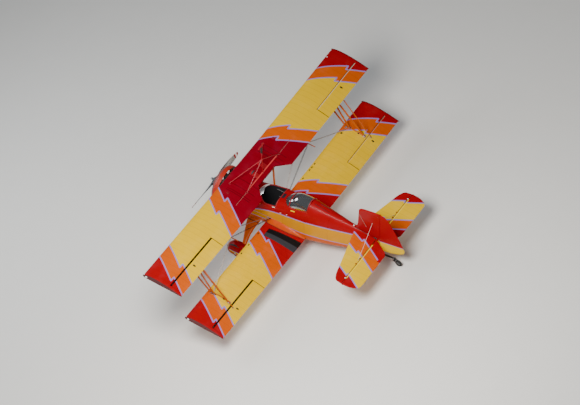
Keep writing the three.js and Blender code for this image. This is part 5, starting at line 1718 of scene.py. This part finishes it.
def dome_row(y, out, lift):
    """A dome section down to the deck on each side, from the left sill over to the right."""
    _, half, sill, crown = curve_through(DOME_SECTIONS, y)
    half, rise = half + out, crown + out - sill
    row = [Vector((half * math.cos(a), y, sill + rise * math.sin(a)))
           for a in [math.pi * i / 28 for i in range(29)]]
    first = next((i for i, p in enumerate(row) if above_deck(p, lift)), 0)
    kept = row[first:len(row) - first]
    if first:
        a, b = row[first - 1], row[first]
        foot = a.lerp(b, halving(lambda share: above_deck(a.lerp(b, share), lift), 0, 1))
        kept = [foot, *kept, Vector((-foot.x, foot.y, foot.z))]
    return resample(kept, 28)


def deck_surface(x, y):
    """Height of the fuselage's top surface at one place."""
    _, half, top, waist, _, above, _ = former_at(y)
    share = min(abs(x) / half, 1)
    return waist + (top - waist) * (1 - share ** above) ** (1 / above)


def above_deck(point, lift=0.0):
    return point.z > deck_surface(point.x, point.y) + lift


def halving(test, low, high):
    """The least value between low and high that passes the test, found by halving."""
    for _ in range(20):
        middle = (low + high) / 2
        low, high = (low, middle) if test(middle) else (middle, high)
    return high


def resample(points, count):
    """The same line with its points evenly spaced, so that rows match."""
    lengths = [0.0]
    for a, b in zip(points, points[1:]):
        lengths.append(lengths[-1] + (b - a).length)
    result, k = [], 0
    for i in range(count + 1):
        want = lengths[-1] * i / count
        while k < len(points) - 2 and lengths[k + 1] < want:
            k += 1
        span = max(lengths[k + 1] - lengths[k], 1e-9)
        result.append(points[k].lerp(points[k + 1], (want - lengths[k]) / span))
    return result


def sheet(bm, rows, thickness):
    """An open skin with a real thickness, grown inward."""
    skin_over(bm, rows, closed=False)
    bmesh.ops.recalc_face_normals(bm, faces=bm.faces)
    if sum(f.normal.z for f in bm.faces) < 0:
        bmesh.ops.reverse_faces(bm, faces=bm.faces)
    bmesh.ops.solidify(bm, geom=bm.faces[:], thickness=thickness)


bm = bmesh.new()
sheet(bm, [dome_row(y, -0.003, CANOPY_EDGE) for y in
           spaced(BOW + CANOPY_EDGE + 0.001, LAST - CANOPY_EDGE - 0.001, 0.03)], GLASS_THICK)
publish("canopy_glass_sheet", bm, canopy_glass, ["canopy_glass"], "canopy")
bm = bmesh.new()
sheet(bm, [dome_row(y, 0.0, 0.002) for y in
           [1.781, 1.80, 1.82, 1.85, *spaced(1.88, BOW - 0.013, 0.022)]], GLASS_THICK)
publish("windscreen_pilot_sheet", bm, screen_glass, ["windscreen_pilot"])

# %% Frame: a bow in front, one behind, and a sill along each side
def sill_row(y):
    return dome_row(y, 0.004, 0.0015)


bm = bmesh.new()
for start, end in ((BOW, BOW + CANOPY_EDGE), (LAST - CANOPY_EDGE, LAST)):
    sheet(bm, [dome_row(y, out, 0.001) for y, out in (
        (start, 0.001), (start + 0.004, 0.010), (end - 0.004, 0.010), (end, 0.001))], FRAME_THICK)
for side in (0, -1):
    rows = []
    for y in spaced(BOW + 0.003, LAST - 0.003, 0.03):
        foot, upper = sill_row(y)[side], dome_row(y, 0.004, CANOPY_EDGE + 0.004)[side]
        inward = Vector((-math.copysign(FRAME_THICK, foot.x), 0, 0))
        rows.append([foot, upper, upper + inward, foot + inward])
    skin_over(bm, rows)
for spot in (0.13, 0.5, 0.87):
    rod(bm, (-0.006, -0.03, 0.012), (-0.006, 0.03, 0.012), 0.006,
        place=shift(sill_row(BOW + (LAST - BOW) * spot)[-1]))
block(bm, sill_row(2.38)[0] + Vector((0.002, 0, 0.02)), (0.010, 0.05, 0.016), bevel=0.003)
publish("canopy_frame_welded", bm, red_enamel, ["canopy_frame"], "canopy")

# %% Screw heads round the fixed screens, and a rubber seal at each foot
bm = bmesh.new()
for y in spaced(1.83, BOW - 0.03, 0.045):
    row = dome_row(y, 0.001, 0.002)
    for foot, upper in ((row[0], row[2]), (row[-1], row[-3])):
        spot = foot.lerp(upper, 0.5)
        outward = Vector((spot.x, 0, 0.2)).normalized()
        rod(bm, spot, spot + outward * 0.003, 0.0045, sides=8)
publish("windscreen_screws", bm, satin_aluminium, sharp=30)
bm = bmesh.new()
for side in (0, -1):
    tube(bm, [dome_row(y, 0.002, 0.002)[side] for y in spaced(1.79, BOW - 0.014, 0.03)], 0.006, sides=8)
publish("windscreen_seal", bm, tyre_rubber)

# %% The front cockpit's low screen: part of a cone that leans aft
SCREEN = {"y": 1.250, "radius": 0.300, "z": -0.640, "spread": 1.0526, "narrow": 0.85,
          "lowest": -0.94, "droop": 0.035}
SCREEN_REACH = math.atan(math.tan(math.radians(40)) / SCREEN["narrow"])


def screen_point(bearing, z):
    """A place on the cone: bearing is the angle from dead ahead."""
    radius = SCREEN["radius"] + (SCREEN["z"] - z) * SCREEN["spread"]
    return Vector((SCREEN["narrow"] * radius * math.sin(bearing),
                   SCREEN["y"] - radius * math.cos(bearing), z))


def screen_foot(bearing):
    """How low the cone goes before it meets the deck."""
    return halving(lambda z: above_deck(screen_point(bearing, z)), SCREEN["lowest"], SCREEN["z"])


bm = bmesh.new()
rows = []
for share in [k / 20 for k in range(-20, 21)]:
    bearing = SCREEN_REACH * share
    foot, top = screen_foot(bearing) - 0.001, SCREEN["z"] - SCREEN["droop"] * share ** 4
    rows.append([screen_point(bearing, foot + (top - foot) * j / 4) for j in range(5)])
sheet(bm, rows, GLASS_THICK)
publish("windscreen_front_sheet", bm, hazy_glass, ["windscreen_front"])
bm = bmesh.new()
tube(bm, [screen_point(bearing, screen_foot(bearing) + 0.002)
          for bearing in [SCREEN_REACH * k / 20 for k in range(-20, 21)]], 0.008, sides=8)
publish("front_screen_strip", bm, white_enamel)

# %% [markdown]
# ## Cockpits
# The front cockpit is a bare well with its tubes showing. The pilot's has a padded seat, belts,
# a stick and a panel of blank dials. A rolled leather pad covers each rim, stitched to the
# skin all round.

# %% Coaming rolls
RIM_OUT, RIM_RISE = 0.012, 0.006


def rim_points(key):
    """The route of a coaming roll, just outside the cockpit's edge."""
    nose, rear, half, _, _ = PITS[key]
    wide = half + RIM_OUT
    points = pit_outline(nose - RIM_OUT, rear + RIM_OUT, wide, 24)
    rear_edge = [(wide * (1 - k / 6), rear + RIM_OUT) for k in range(1, 12)]
    left_side = [(wide, nose + half + (rear - nose - half) * k / 8) for k in range(1, 8)]
    right_side = [(-x, y) for x, y in reversed(left_side)]
    whole = points[:25] + left_side + [points[25]] + rear_edge + [points[26]] + right_side
    return [(x, y, deck_surface(x, y) + RIM_RISE) for x, y in whole]


for key, finish, radius in (("front", red_leather, 0.018), ("rear", black_leather, 0.013)):
    bm = bmesh.new()
    tube(bm, rim_points(key), radius, sides=12, closed=True)
    coaming = publish(f"{key}_cockpit_coaming", bm, finish)

# %% Front cockpit: frame tubes and floorboards
RAILS_Z = (-1.02, -1.36, -1.70)


def pit_wall(y, z, widest=0.46):
    """Where a tube runs that is welded up against the cockpit's wall."""
    return min(hull_side(y, z), widest) - PIT_SKIN - 0.016


bm = bmesh.new()
for side in (1, -1):
    for z, widest in zip(RAILS_Z, (0.385, 1, 1)):
        tube(bm, [(side * min(pit_wall(y, z), widest), y, z) for y in spaced(0.98, 1.57, 0.1)], 0.012)
    for y in (1.06, 1.32, 1.56):
        ends = [(side * x, y, z) for x, z in zip(
            (0.372, pit_wall(y, RAILS_Z[1]), pit_wall(y, RAILS_Z[2], 1)), RAILS_Z)]
        for pair in zip(ends, ends[1:]):
            rod(bm, *pair, 0.011)
publish("front_cockpit_tubes", bm, satin_aluminium)
bm = bmesh.new()
for x in (-0.21, -0.07, 0.07, 0.21):
    block(bm, (x, 1.27, -1.771), (0.132, 0.52, 0.014), bevel=0.003, segments=1)
block(bm, (0, 1.44, -1.60), (0.50, 0.22, 0.05), bevel=0.02)
rod(bm, (-0.30, 1.02, -1.66), (0.30, 1.02, -1.66), 0.013)
publish("front_cockpit_floor", bm, floor_black)

# %% Pilot's panel, with blank dials
bm = bmesh.new()
PANEL_Y, PANEL_WIDE = 2.110, 0.524
block(bm, (0, PANEL_Y, -0.800), (PANEL_WIDE, 0.012, 0.205), bevel=0.004)
block(bm, (0, PANEL_Y - 0.030, -0.690), (PANEL_WIDE - 0.02, 0.09, 0.014), bevel=0.006)
publish("instrument_panel_plate", bm, black_paint_and_shade, ["instrument_panel"])
DIALS = [(-0.170, -0.765, 0.040), (-0.065, -0.765, 0.040), (0.045, -0.765, 0.040),
         (0.150, -0.765, 0.034), *[(x, -0.855, 0.030) for x in (-0.170, -0.085, 0, 0.085)]]
rings, faces = bmesh.new(), bmesh.new()
for x, z, radius in DIALS:
    seat = shift((x, PANEL_Y + 0.006, z)) @ roll("X", -math.pi / 2)
    turned(rings, [(radius - 0.006, 0), (radius - 0.005, 0.004), (radius - 0.001, 0.006),
                   (radius, 0.004), (radius, 0), (radius - 0.006, 0)], seat, sides=28)
    turned(faces, [(0, 0.0005), (radius - 0.006, 0.0005), (radius - 0.006, 0.002), (0, 0.002)], seat,
           sides=24)
    rod(rings, (0, 0, 0.003), (radius * 0.45, -radius * 0.45, 0.003), 0.0012, sides=6, place=seat)
publish("dial_rims", rings, satin_aluminium)
publish("dial_faces", faces, white_enamel)

# %% Seat shell
SEAT_FLOOR, SEAT_REAR, SEAT_LEG_X, SEAT_LEG_Y = -1.640, 2.690, 0.14, 0.13
seat_y, seat_z = SEAT_REAR - 0.26, SEAT_FLOOR + 0.33
bm = bmesh.new()
block(bm, (0, seat_y, seat_z - 0.005), (0.400, 0.400, 0.05), bevel=0.012)
block(bm, (0, SEAT_REAR - 0.083, seat_z + 0.28), (0.400, 0.040, 0.62), bevel=0.016)
for side in (1, -1):
    block(bm, (side * 0.192, seat_y, seat_z + 0.06), (0.016, 0.38, 0.11), bevel=0.006)
    foot = shift((side * SEAT_LEG_X, seat_y, SEAT_FLOOR))
    for y in (-SEAT_LEG_Y, SEAT_LEG_Y):
        rod(bm, (0, y, 0.001), (0, y, 0.31), 0.014, place=foot)
    rod(bm, (0, -SEAT_LEG_Y, 0.02), (0, SEAT_LEG_Y, 0.30), 0.010, place=foot)
publish("pilot_seat_shell", bm, gear_black, ["pilot_seat"])

# %% Cushions: panels of leather over foam, with a crown and two seams
SEAMS_AT, SEAM_DEPTH, SEAM_WIDE = (-0.36, 0.36), 0.012, 0.05


def cushion(bm, place, size, crown):
    """A pad whose top swells between stitched seams. Size is its width, depth and height."""
    wide, deep, high = size
    made = bmesh.ops.create_grid(bm, x_segments=22, y_segments=22, size=0.5)
    edge = [e for e in {e for v in made["verts"] for e in v.link_edges} if e.is_boundary]
    for vertex in made["verts"]:
        u, v = vertex.co.x * 2, vertex.co.y * 2
        swell = (1 - abs(u) ** 4) * (1 - abs(v) ** 4)
        nearest = min(abs(u - s) for s in SEAMS_AT)
        stitch = SEAM_DEPTH * math.exp(-(nearest / SEAM_WIDE) ** 2) * (swell > 0.05)
        square = 1 - 0.05 * (u * v) ** 2
        vertex.co = Vector((u * square * wide / 2, v * square * deep / 2,
                            high * 0.45 + crown * swell ** 0.6 - stitch))
    sides = bmesh.ops.extrude_edge_only(bm, edges=edge)["geom"]
    low = [v for v in sides if isinstance(v, bmesh.types.BMVert)]
    for vertex in low:
        vertex.co = Vector((vertex.co.x * 0.97, vertex.co.y * 0.97, 0))
    bmesh.ops.holes_fill(bm, edges=[e for e in sides if isinstance(e, bmesh.types.BMEdge)
                                    and e.is_boundary], sides=0)
    bmesh.ops.transform(bm, matrix=place, verts=[*made["verts"], *low])


bm = bmesh.new()
cushion(bm, shift((0, seat_y - 0.01, seat_z + 0.021)), (0.355, 0.360, 0.05), 0.022)
cushion(bm, shift((0, SEAT_REAR - 0.104, seat_z + 0.33)) @ roll("X", math.pi / 2),
        (0.350, 0.480, 0.045), 0.020)
pads = publish("pilot_seat_cushions", bm, black_leather)

# %% Belts and stick
BELT_WIDTH, BELT_THICK = 0.045, 0.003


def strap(bm, points):
    """A flat belt along a route: its width lies across X unless the route runs along X."""
    rows = []
    for i, point in enumerate(points):
        p = Vector(point)
        ahead = Vector(points[min(i + 1, len(points) - 1)]) - Vector(points[max(i - 1, 0)])
        across = Vector((1, 0, 0)) if abs(ahead.x) < 0.6 * ahead.length else Vector((0, 1, 0))
        across = (across - ahead * across.dot(ahead) / ahead.length_squared).normalized()
        out = ahead.cross(across).normalized()
        half, out = across * BELT_WIDTH / 2, out * BELT_THICK
        rows.append([p + half, p + half + out, p - half + out, p - half])
    skin_over(bm, rows)


BELTS = [
    # across, forward of the cockpit's rear wall, above the seat: one over the shoulder, one across
    [(0.085, 0.145, 0.60), (0.085, 0.172, 0.40), (0.080, 0.180, 0.20), (0.070, 0.215, 0.11),
     (0.045, 0.290, 0.104)],
    [(0.185, 0.16, 0.10), (0.13, 0.20, 0.112), (0.06, 0.28, 0.112), (0, 0.30, 0.110)],
]
bm = bmesh.new()
for side in (1, -1):
    for belt in BELTS:
        strap(bm, [(side * x, SEAT_REAR - ahead, seat_z + z) for x, ahead, z in belt])
publish("belts", bm, webbing)
bm = bmesh.new()
STICK = [(0, 2.14, SEAT_FLOOR + 0.004), (0, 2.155, -1.45), (0, 2.19, -1.25), (0, 2.20, -1.12)]
GRIP = [(0, 2.198, -1.14), (0, 2.201, -1.10), (0, 2.206, -1.05), (0, 2.206, -1.02)]
tube(bm, STICK, 0.013, sides=14)
tube(bm, GRIP, 0.019, sides=14)
block(bm, (0, SEAT_REAR - 0.292, seat_z + 0.115), (0.06, 0.05, 0.012), bevel=0.004)
publish("control_stick", bm, gear_black)

# %% [markdown]
# ## Rack on the upper wing
# A frame of welded tubes on the centre section: a post with a cross bar, foot plates with
# straps, and four braces. Flanged feet bolt each tube to the spar caps.

# %% The rack's tubes
RACK_Y, RAIL_HALF, RAIL_RADIUS, POST_RADIUS = 0.885, 0.80, 0.021, 0.020
BRACES = [(0.95, 0.25), (0.93, 0.90)]
PLATE_X, PLATE_FRONT, PLATE_REAR = 0.230, 0.56, RACK_Y + 0.008


def centre_top(y):
    return CENTRE_RISE + wing_skin(y, 1) * math.cos(INCIDENCE) - y * math.sin(INCIDENCE)


rack_low = centre_top(RACK_Y) + 0.0193
brace_top = Vector((0, RACK_Y - 0.008, 0.70))
bm = bmesh.new()
tube(bm, [(0, RACK_Y, rack_low), (0, RACK_Y - 0.005, 0.45), (0, RACK_Y - 0.010, 0.9),
          (0, RACK_Y - 0.015, 1.36)], POST_RADIUS, sides=20)
tube(bm, [(x, RACK_Y - 0.015, 1.34) for x in (-0.15, 0, 0.15)], POST_RADIUS, sides=16)
for x, y in BRACES:
    for side in (1, -1):
        rod(bm, brace_top, (side * x, y, centre_top(y) + 0.006), 0.013, sides=16)
for z in (-0.02, 0.02):
    turned(bm, [(0.018, -0.008), (0.029, -0.006), (0.029, 0.006), (0.018, 0.008)],
           shift(brace_top + Vector((0, 0, z))), sides=24)
for side in (1, -1):
    x = side * PLATE_X
    fall = roll("X", math.atan2(centre_top(RACK_Y) - centre_top(PLATE_FRONT), RACK_Y - PLATE_FRONT))
    middle = Vector((x, (PLATE_FRONT + PLATE_REAR) / 2,
                     (centre_top(PLATE_FRONT) + centre_top(PLATE_REAR)) / 2 + 0.022))
    block(bm, (0, 0, 0), (0.180, 0.333, 0.010), shift(middle) @ fall, bevel=0.003)
    for y in (0.60, 0.72, 0.84):
        for offset in (-0.06, 0.06):
            rod(bm, (0, 0, -0.002), (0, 0, 0.020), 0.009, place=shift((x + offset, y, centre_top(y))))
publish("rider_rack_tubes", bm, red_enamel, ["rider_rack"])
bm = bmesh.new()
# The rail takes the lighter red of a painted highlight.
tube(bm, [(x, RACK_Y, rack_low) for x in (-RAIL_HALF, 0, RAIL_HALF)], RAIL_RADIUS, sides=16)
publish("rider_rack_rail", bm, rail_highlight_enamel)

# %% Flanged feet, foot straps and padding
bm = bmesh.new()
for x, y in [(side * x, y) for x, y in [*BRACES, (RAIL_HALF, RACK_Y)] for side in (1, -1)] + [
        (0, RACK_Y)]:
    flat = roll("X", math.atan2(centre_top(y + 0.03) - centre_top(y - 0.03), 0.06))
    seat = shift((x, y, centre_top(y))) @ flat
    turned(bm, [(0, 0.0005), (0.045, 0.0005), (0.045, 0.004), (0.042, 0.006), (0, 0.006)], seat, sides=24)
    for a in [math.tau * (k + 0.5) / 4 for k in range(4)]:
        bolt = (0.033 * math.cos(a), 0.033 * math.sin(a))
        rod(bm, (*bolt, 0.006), (*bolt, 0.012), 0.006, sides=6, place=seat)
publish("rack_feet", bm, crimson_enamel, sharp=30)
STRAP_Y = 0.66
bm = bmesh.new()
for side in (1, -1):
    strap(bm, [(side * PLATE_X + 0.085 * math.cos(a), STRAP_Y,
                centre_top(STRAP_Y) + 0.030 + 0.075 * math.sin(a))
               for a in [math.pi * k / 12 for k in range(13)]])
publish("foot_straps", bm, webbing)
bm = bmesh.new()
tube(bm, [(0, RACK_Y - lean, z) for lean, z in ((0.008, 1.04), (0.010, 1.08), (0.012, 1.20),
                                                (0.014, 1.28), (0.014, 1.30))], 0.034, sides=20)
back_pad = publish("rack_post_pad", bm, black_leather)

# %% [markdown]
# ## Small fittings
# Wing-tip plates, lights, filler caps, covers, tie-down rings and tail wires. Most sit on a
# skin, so one helper gives a place on a wing whose Z points straight out of its surface.

# %% Places on a wing's surface
def on_skin(plane, side, x, y, face=1):
    """A place on the wing whose Z is the surface's own direction."""
    slope = (wing_skin(y + 0.01, face) - wing_skin(y - 0.01, face)) / 0.02
    normal = Vector((0, -slope * face, face)).normalized()
    across = Vector((1, 0, 0))
    tilt = Matrix((across, normal.cross(across), normal)).transposed().to_4x4()
    return wing_place(plane, side) @ shift((x * side, y, wing_skin(y, face))) @ tilt


def disc(bm, place, radius, rise=0.004, sides=24):
    """A low round cover with a softened rim, bedded a little into the skin."""
    turned(bm, [(0, -0.004), (radius, -0.004), (radius, rise * 0.5), (radius * 0.94, rise),
                (0, rise * 1.3)], place, sides=sides)

# %% Wing-tip plates
TIP_PLATE = {"thick": 0.006, "outset": 0.012, "tail": 0.030}
for plane, sizes in WINGS.items():
    for hand, side in HANDS:
        bm = bmesh.new()
        rows = []
        for x in (sizes["tip"] - TIP_PLATE["thick"], sizes["tip"] + TIP_PLATE["thick"]):
            row = []
            for p in section_row(x):
                share = p.y / CHORD
                y = p.y + share * (TIP_PLATE["outset"] + TIP_PLATE["tail"]) - TIP_PLATE["outset"]
                lift = math.copysign(TIP_PLATE["outset"] * (1 - 0.7 * share), p.z - middle_of(p.y))
                row.append(Vector((x, y, p.z + lift)))
            rows.append(row)
        skin_over(bm, to_hand(rows, side, wing_place(plane, side)))
        publish(f"{plane}_tip_plate_{hand}", bm, plate_enamel, sharp=30)

# %% Lights: a white bead on each wing's end and one on the right leading edge
LIGHT_Y, LAMP_AT = 0.120, (5.090, 0.070)
LENS = [(0, 0.034), (0.012, 0.032), (0.021, 0.024), (0.025, 0.012), (0.026, 0), (0, 0)]
for plane, sizes in WINGS.items():
    for hand, side in HANDS:
        end = (side * (sizes["tip"] + TIP_PLATE["outset"] - 0.004), LIGHT_Y, wing_skin(LIGHT_Y, 1) * 0.3)
        seat = wing_place(plane, side) @ shift(end) @ roll("Y", side * math.pi / 2)
        bm = bmesh.new()
        turned(bm, LENS, seat @ Matrix.Diagonal((1, 1.4, 1, 1)), sides=20)
        publish(f"{plane}_tip_light_{hand}", bm, white_lens)
bm = bmesh.new()
turned(bm, LENS, on_skin("upper", -1, *LAMP_AT) @ Matrix.Diagonal((0.7, 0.9, 0.4, 1)), sides=20)
publish("leading_edge_lamp", bm, white_lens)

# %% Filler caps, covers, studs and tie-down rings
FILLER_CAP, SIDE_STUD, BAR_STUD_Y = (1.322, 0.417), (3.700, 0.160), 0.640
STUDS, STUD_Y = {1: (1.16, 1.72, 2.14), -1: (1.49, 1.89, 2.02, 2.19)}, 0.090
COVERS_UNDER = [(x, y) for x in (1.30, 2.30, 3.30, 4.60) for y in (0.34, 0.86)]
HORN_COVERS = {"upper": (4.290, 1.120), "lower": (4.020, 1.175)}
bm = bmesh.new()
for side in (1, -1):
    seat = on_skin("upper", side, *FILLER_CAP)
    disc(bm, seat, 0.050, 0.007, 28)
    disc(bm, seat @ shift((0, 0, 0.007)), 0.030, 0.006, 20)
    block(bm, (0, 0, 0), (0.045, 0.010, 0.010),
          shift(seat @ Vector((0, 0, 0.017))) @ wing_place("upper", side).to_3x3().to_4x4(), bevel=0.003)
publish("filler_caps", bm, crimson_enamel, sharp=30)
bm = bmesh.new()
for plane in WINGS:
    for side in (1, -1):
        for x, y in COVERS_UNDER:
            disc(bm, on_skin(plane, side, x, y, -1), 0.055, 0.003, 28)
publish("inspection_covers", bm, yellow_enamel, sharp=30)
bm = bmesh.new()
for side, places in STUDS.items():
    for x in places:
        disc(bm, on_skin("lower", side, x, STUD_Y) @ Matrix.Diagonal((1.4, 0.8, 1, 1)), 0.028, 0.006, 16)
    disc(bm, on_skin("lower", side, *SIDE_STUD), 0.036, 0.008, 16)
    disc(bm, on_skin("lower", side, FOOT_BAR["x"], BAR_STUD_Y), 0.034, 0.034, 16)
publish("dark_studs", bm, stud_black, sharp=30)
for plane, (x, y) in HORN_COVERS.items():
    for hand, side in HANDS:
        bm = bmesh.new()
        disc(bm, on_skin(plane, side, x, y) @ Matrix.Diagonal((0.6, 1.15, 1, 1)), 0.046, 0.008, 20)
        publish(f"{plane}_horn_cover_{hand}", bm, stud_black,
                body=f"{plane}_{hand}_aileron")
bm = bmesh.new()
for side in (1, -1):
    place = on_skin("lower", side, STRUT_X, 0.30, -1)
    block(bm, (0, 0, 0.004), (0.030, 0.060, 0.010), place, bevel=0.002)
    ring = [(0, 0.024 * math.cos(a), 0.028 + 0.024 * math.sin(a)) for a in angles(20)]
    tube(bm, placed(place, ring), 0.005, sides=8, closed=True)
publish("tie_down_rings", bm, stainless)

# %% Pieces on the fuselage's deck and sides
def on_deck(x, y, rise=0.0):
    return Vector((x, y, deck_surface(x, y) + rise))


DECK_COVER = {"left": 0.100, "right": -0.092, "front": 1.612, "rear": 1.720, "thick": 0.006}
bm = bmesh.new()
rows = []
for y in spaced(DECK_COVER["front"], DECK_COVER["rear"], 0.03):
    across_deck = spaced(DECK_COVER["left"], DECK_COVER["right"], 0.024)
    rows.append([on_deck(x, y, DECK_COVER["thick"]) for x in across_deck]
                + [on_deck(x, y, -0.002) for x in reversed(across_deck)])
skin_over(bm, rows)
publish("deck_cover", bm, deck_cover_blue, sharp=30)
# Two dark flat strips laid along lines on the rear deck.
DECK_SLOTS = [((0.025, 2.849), (0.039, 3.421)), ((-0.080, 3.012), (-0.116, 3.332))]
bm = bmesh.new()
for (x, y), (last_x, last_y) in DECK_SLOTS:
    route = [on_deck(x + (last_x - x) * k / 10, y + (last_y - y) * k / 10) for k in range(11)]
    tube(bm, route, 0.009, sides=8, flat=0.5)
publish("deck_slot_dark_strips", bm, gear_black)
SIDE_TABS = [
    # name, finish, front y, rear y, height in front, height behind, size across
    ("yellow_sill_tab", yellow_enamel, 2.144, 2.296, -0.672, -0.644, 0.030),
    ("front_step_tab", white_enamel, 1.475, 1.575, -0.852, -0.824, 0.030),
    ("front_side_tab", white_enamel, 1.775, 1.825, -0.942, -0.932, 0.022),
    ("rear_side_tab", white_enamel, 2.015, 2.045, -0.898, -0.880, 0.034),
]
for name, finish, y, last_y, z, last_z, tall in SIDE_TABS:
    bm = bmesh.new()
    rows = []
    for share in (0, 0.5, 1):
        at, low = y + (last_y - y) * share, z + (last_z - z) * share - tall / 2
        heights = [low + tall * k / 3 for k in range(4)]
        rows.append([(hull_side(at, h, 0.005), at, h) for h in heights]
                    + [(hull_side(at, h, -0.003), at, h) for h in reversed(heights)])
    skin_over(bm, rows)
    publish(name, bm, finish, sharp=30)

# %% Tail wires and hinge fittings
bm = bmesh.new()
WIRE_TOP, WIRE_FOOT = (5.012, 0.165), (1.060, 5.125)
FIN_LEAD = ((0.027, 4.532, 0.303), (0.032, 4.791, -0.153))
for side in (1, -1):
    start = Vector((side * TAIL_THICK / 2 * 0.98, *WIRE_TOP))
    end = Vector((side * WIRE_FOOT[0], WIRE_FOOT[1], STABILIZER_Z + TAIL_THICK / 2))
    tube(bm, [start, start.lerp(end, 0.5), end], 0.0045, sides=8)
    for point, toward in ((start, end), (end, start)):
        ahead = (toward - point).normalized()
        rod(bm, point, point + ahead * 0.09, 0.008, sides=8)
        rod(bm, point - ahead * 0.004, point + ahead * 0.012, 0.016, sides=10)
    rod(bm, *[(side * x, y, z) for x, y, z in FIN_LEAD], 0.006, 0.005, sides=8)
# The tail wires take the steel wire's painted light.
publish("tail_wires", bm, wire_painted_light, sharp=30)
bm = bmesh.new()
for side in (1, -1):
    tube(bm, [(side * 0.034, y, deck_surface(0.034, y) + 0.002) for y in spaced(4.335, 5.200, 0.06)],
         0.008, sides=8)
FOOT_SEAL = [
    # y, half width, height above the tailplane
    (5.040, 0.030, 0.034), (5.090, 0.046, 0.046), (5.158, 0.052, 0.050),
]
skin_over(bm, [superellipse((y, half, STABILIZER_Z + rise, STABILIZER_Z, STABILIZER_Z - 0.01, 3, 3), 20)
               for y, half, rise in FOOT_SEAL])
publish("fin_root_seal", bm, tyre_rubber)
bm = bmesh.new()
for side in (1, -1):
    disc(bm, shift((side * 1.862, 5.148, STABILIZER_Z + 0.027)), 0.022, 0.006, 16)
publish("tailplane_end_caps", bm, white_lens)
bm = bmesh.new()
for side in (1, -1):
    for z in (-0.360, 0.130, 0.600):
        block(bm, (side * 0.026, 5.232, z), (0.008, 0.050, 0.045), bevel=0.002, segments=1)
    for x in (0.970, 1.210, 1.850):
        for face in (1, -1):
            block(bm, (side * x, 5.140, STABILIZER_Z + face * 0.026), (0.045, 0.050, 0.008), bevel=0.002,
                  segments=1)
publish("tail_hinge_fittings", bm, crimson_enamel, sharp=30)
bm = bmesh.new()
DECK_LIGHT_Y = 4.300
turned(bm, [(0, 0.030), (0.012, 0.028), (0.020, 0.020), (0.024, 0.008), (0.024, 0), (0, 0)],
       shift((0, DECK_LIGHT_Y, deck_height(DECK_LIGHT_Y) - 0.004)), sides=20)
publish("deck_light", bm, white_lens)

# %% [markdown]
# ## Floor
# A pale, matt painted studio floor, wide enough that its edge is never in view.

# %% The studio floor
FLOOR_HALF, FLOOR_PATCH_MM = 60.0, 700
floor_material, floor_tree = new_material("pale_studio_floor")
floor_where = add(floor_tree, "ShaderNodeTexCoord").outputs["Object"]
floor_cloud = clouds(floor_tree, floor_where, FLOOR_PATCH_MM)
floor_colour = add(floor_tree, "ShaderNodeHueSaturation", {
    "Value": floor_cloud * 0.03 + 0.985, "Color": linear("F0EFEB")}).outputs["Color"]
floor_shader = add(floor_tree, "ShaderNodeBsdfPrincipled", {
    "Base Color": floor_colour, "Roughness": floor_cloud * 0.1 + 0.75})
close_material(floor_tree, floor_shader)
bm = bmesh.new()
bmesh.ops.create_grid(bm, x_segments=4, y_segments=4, size=FLOOR_HALF)
mesh = bpy.data.meshes.new("studio_floor")
bm.to_mesh(mesh)
bm.free()
mesh.materials.append(floor_material)
floor = bpy.data.objects.new("studio_floor", mesh)
bpy.context.scene.collection.objects.link(floor)
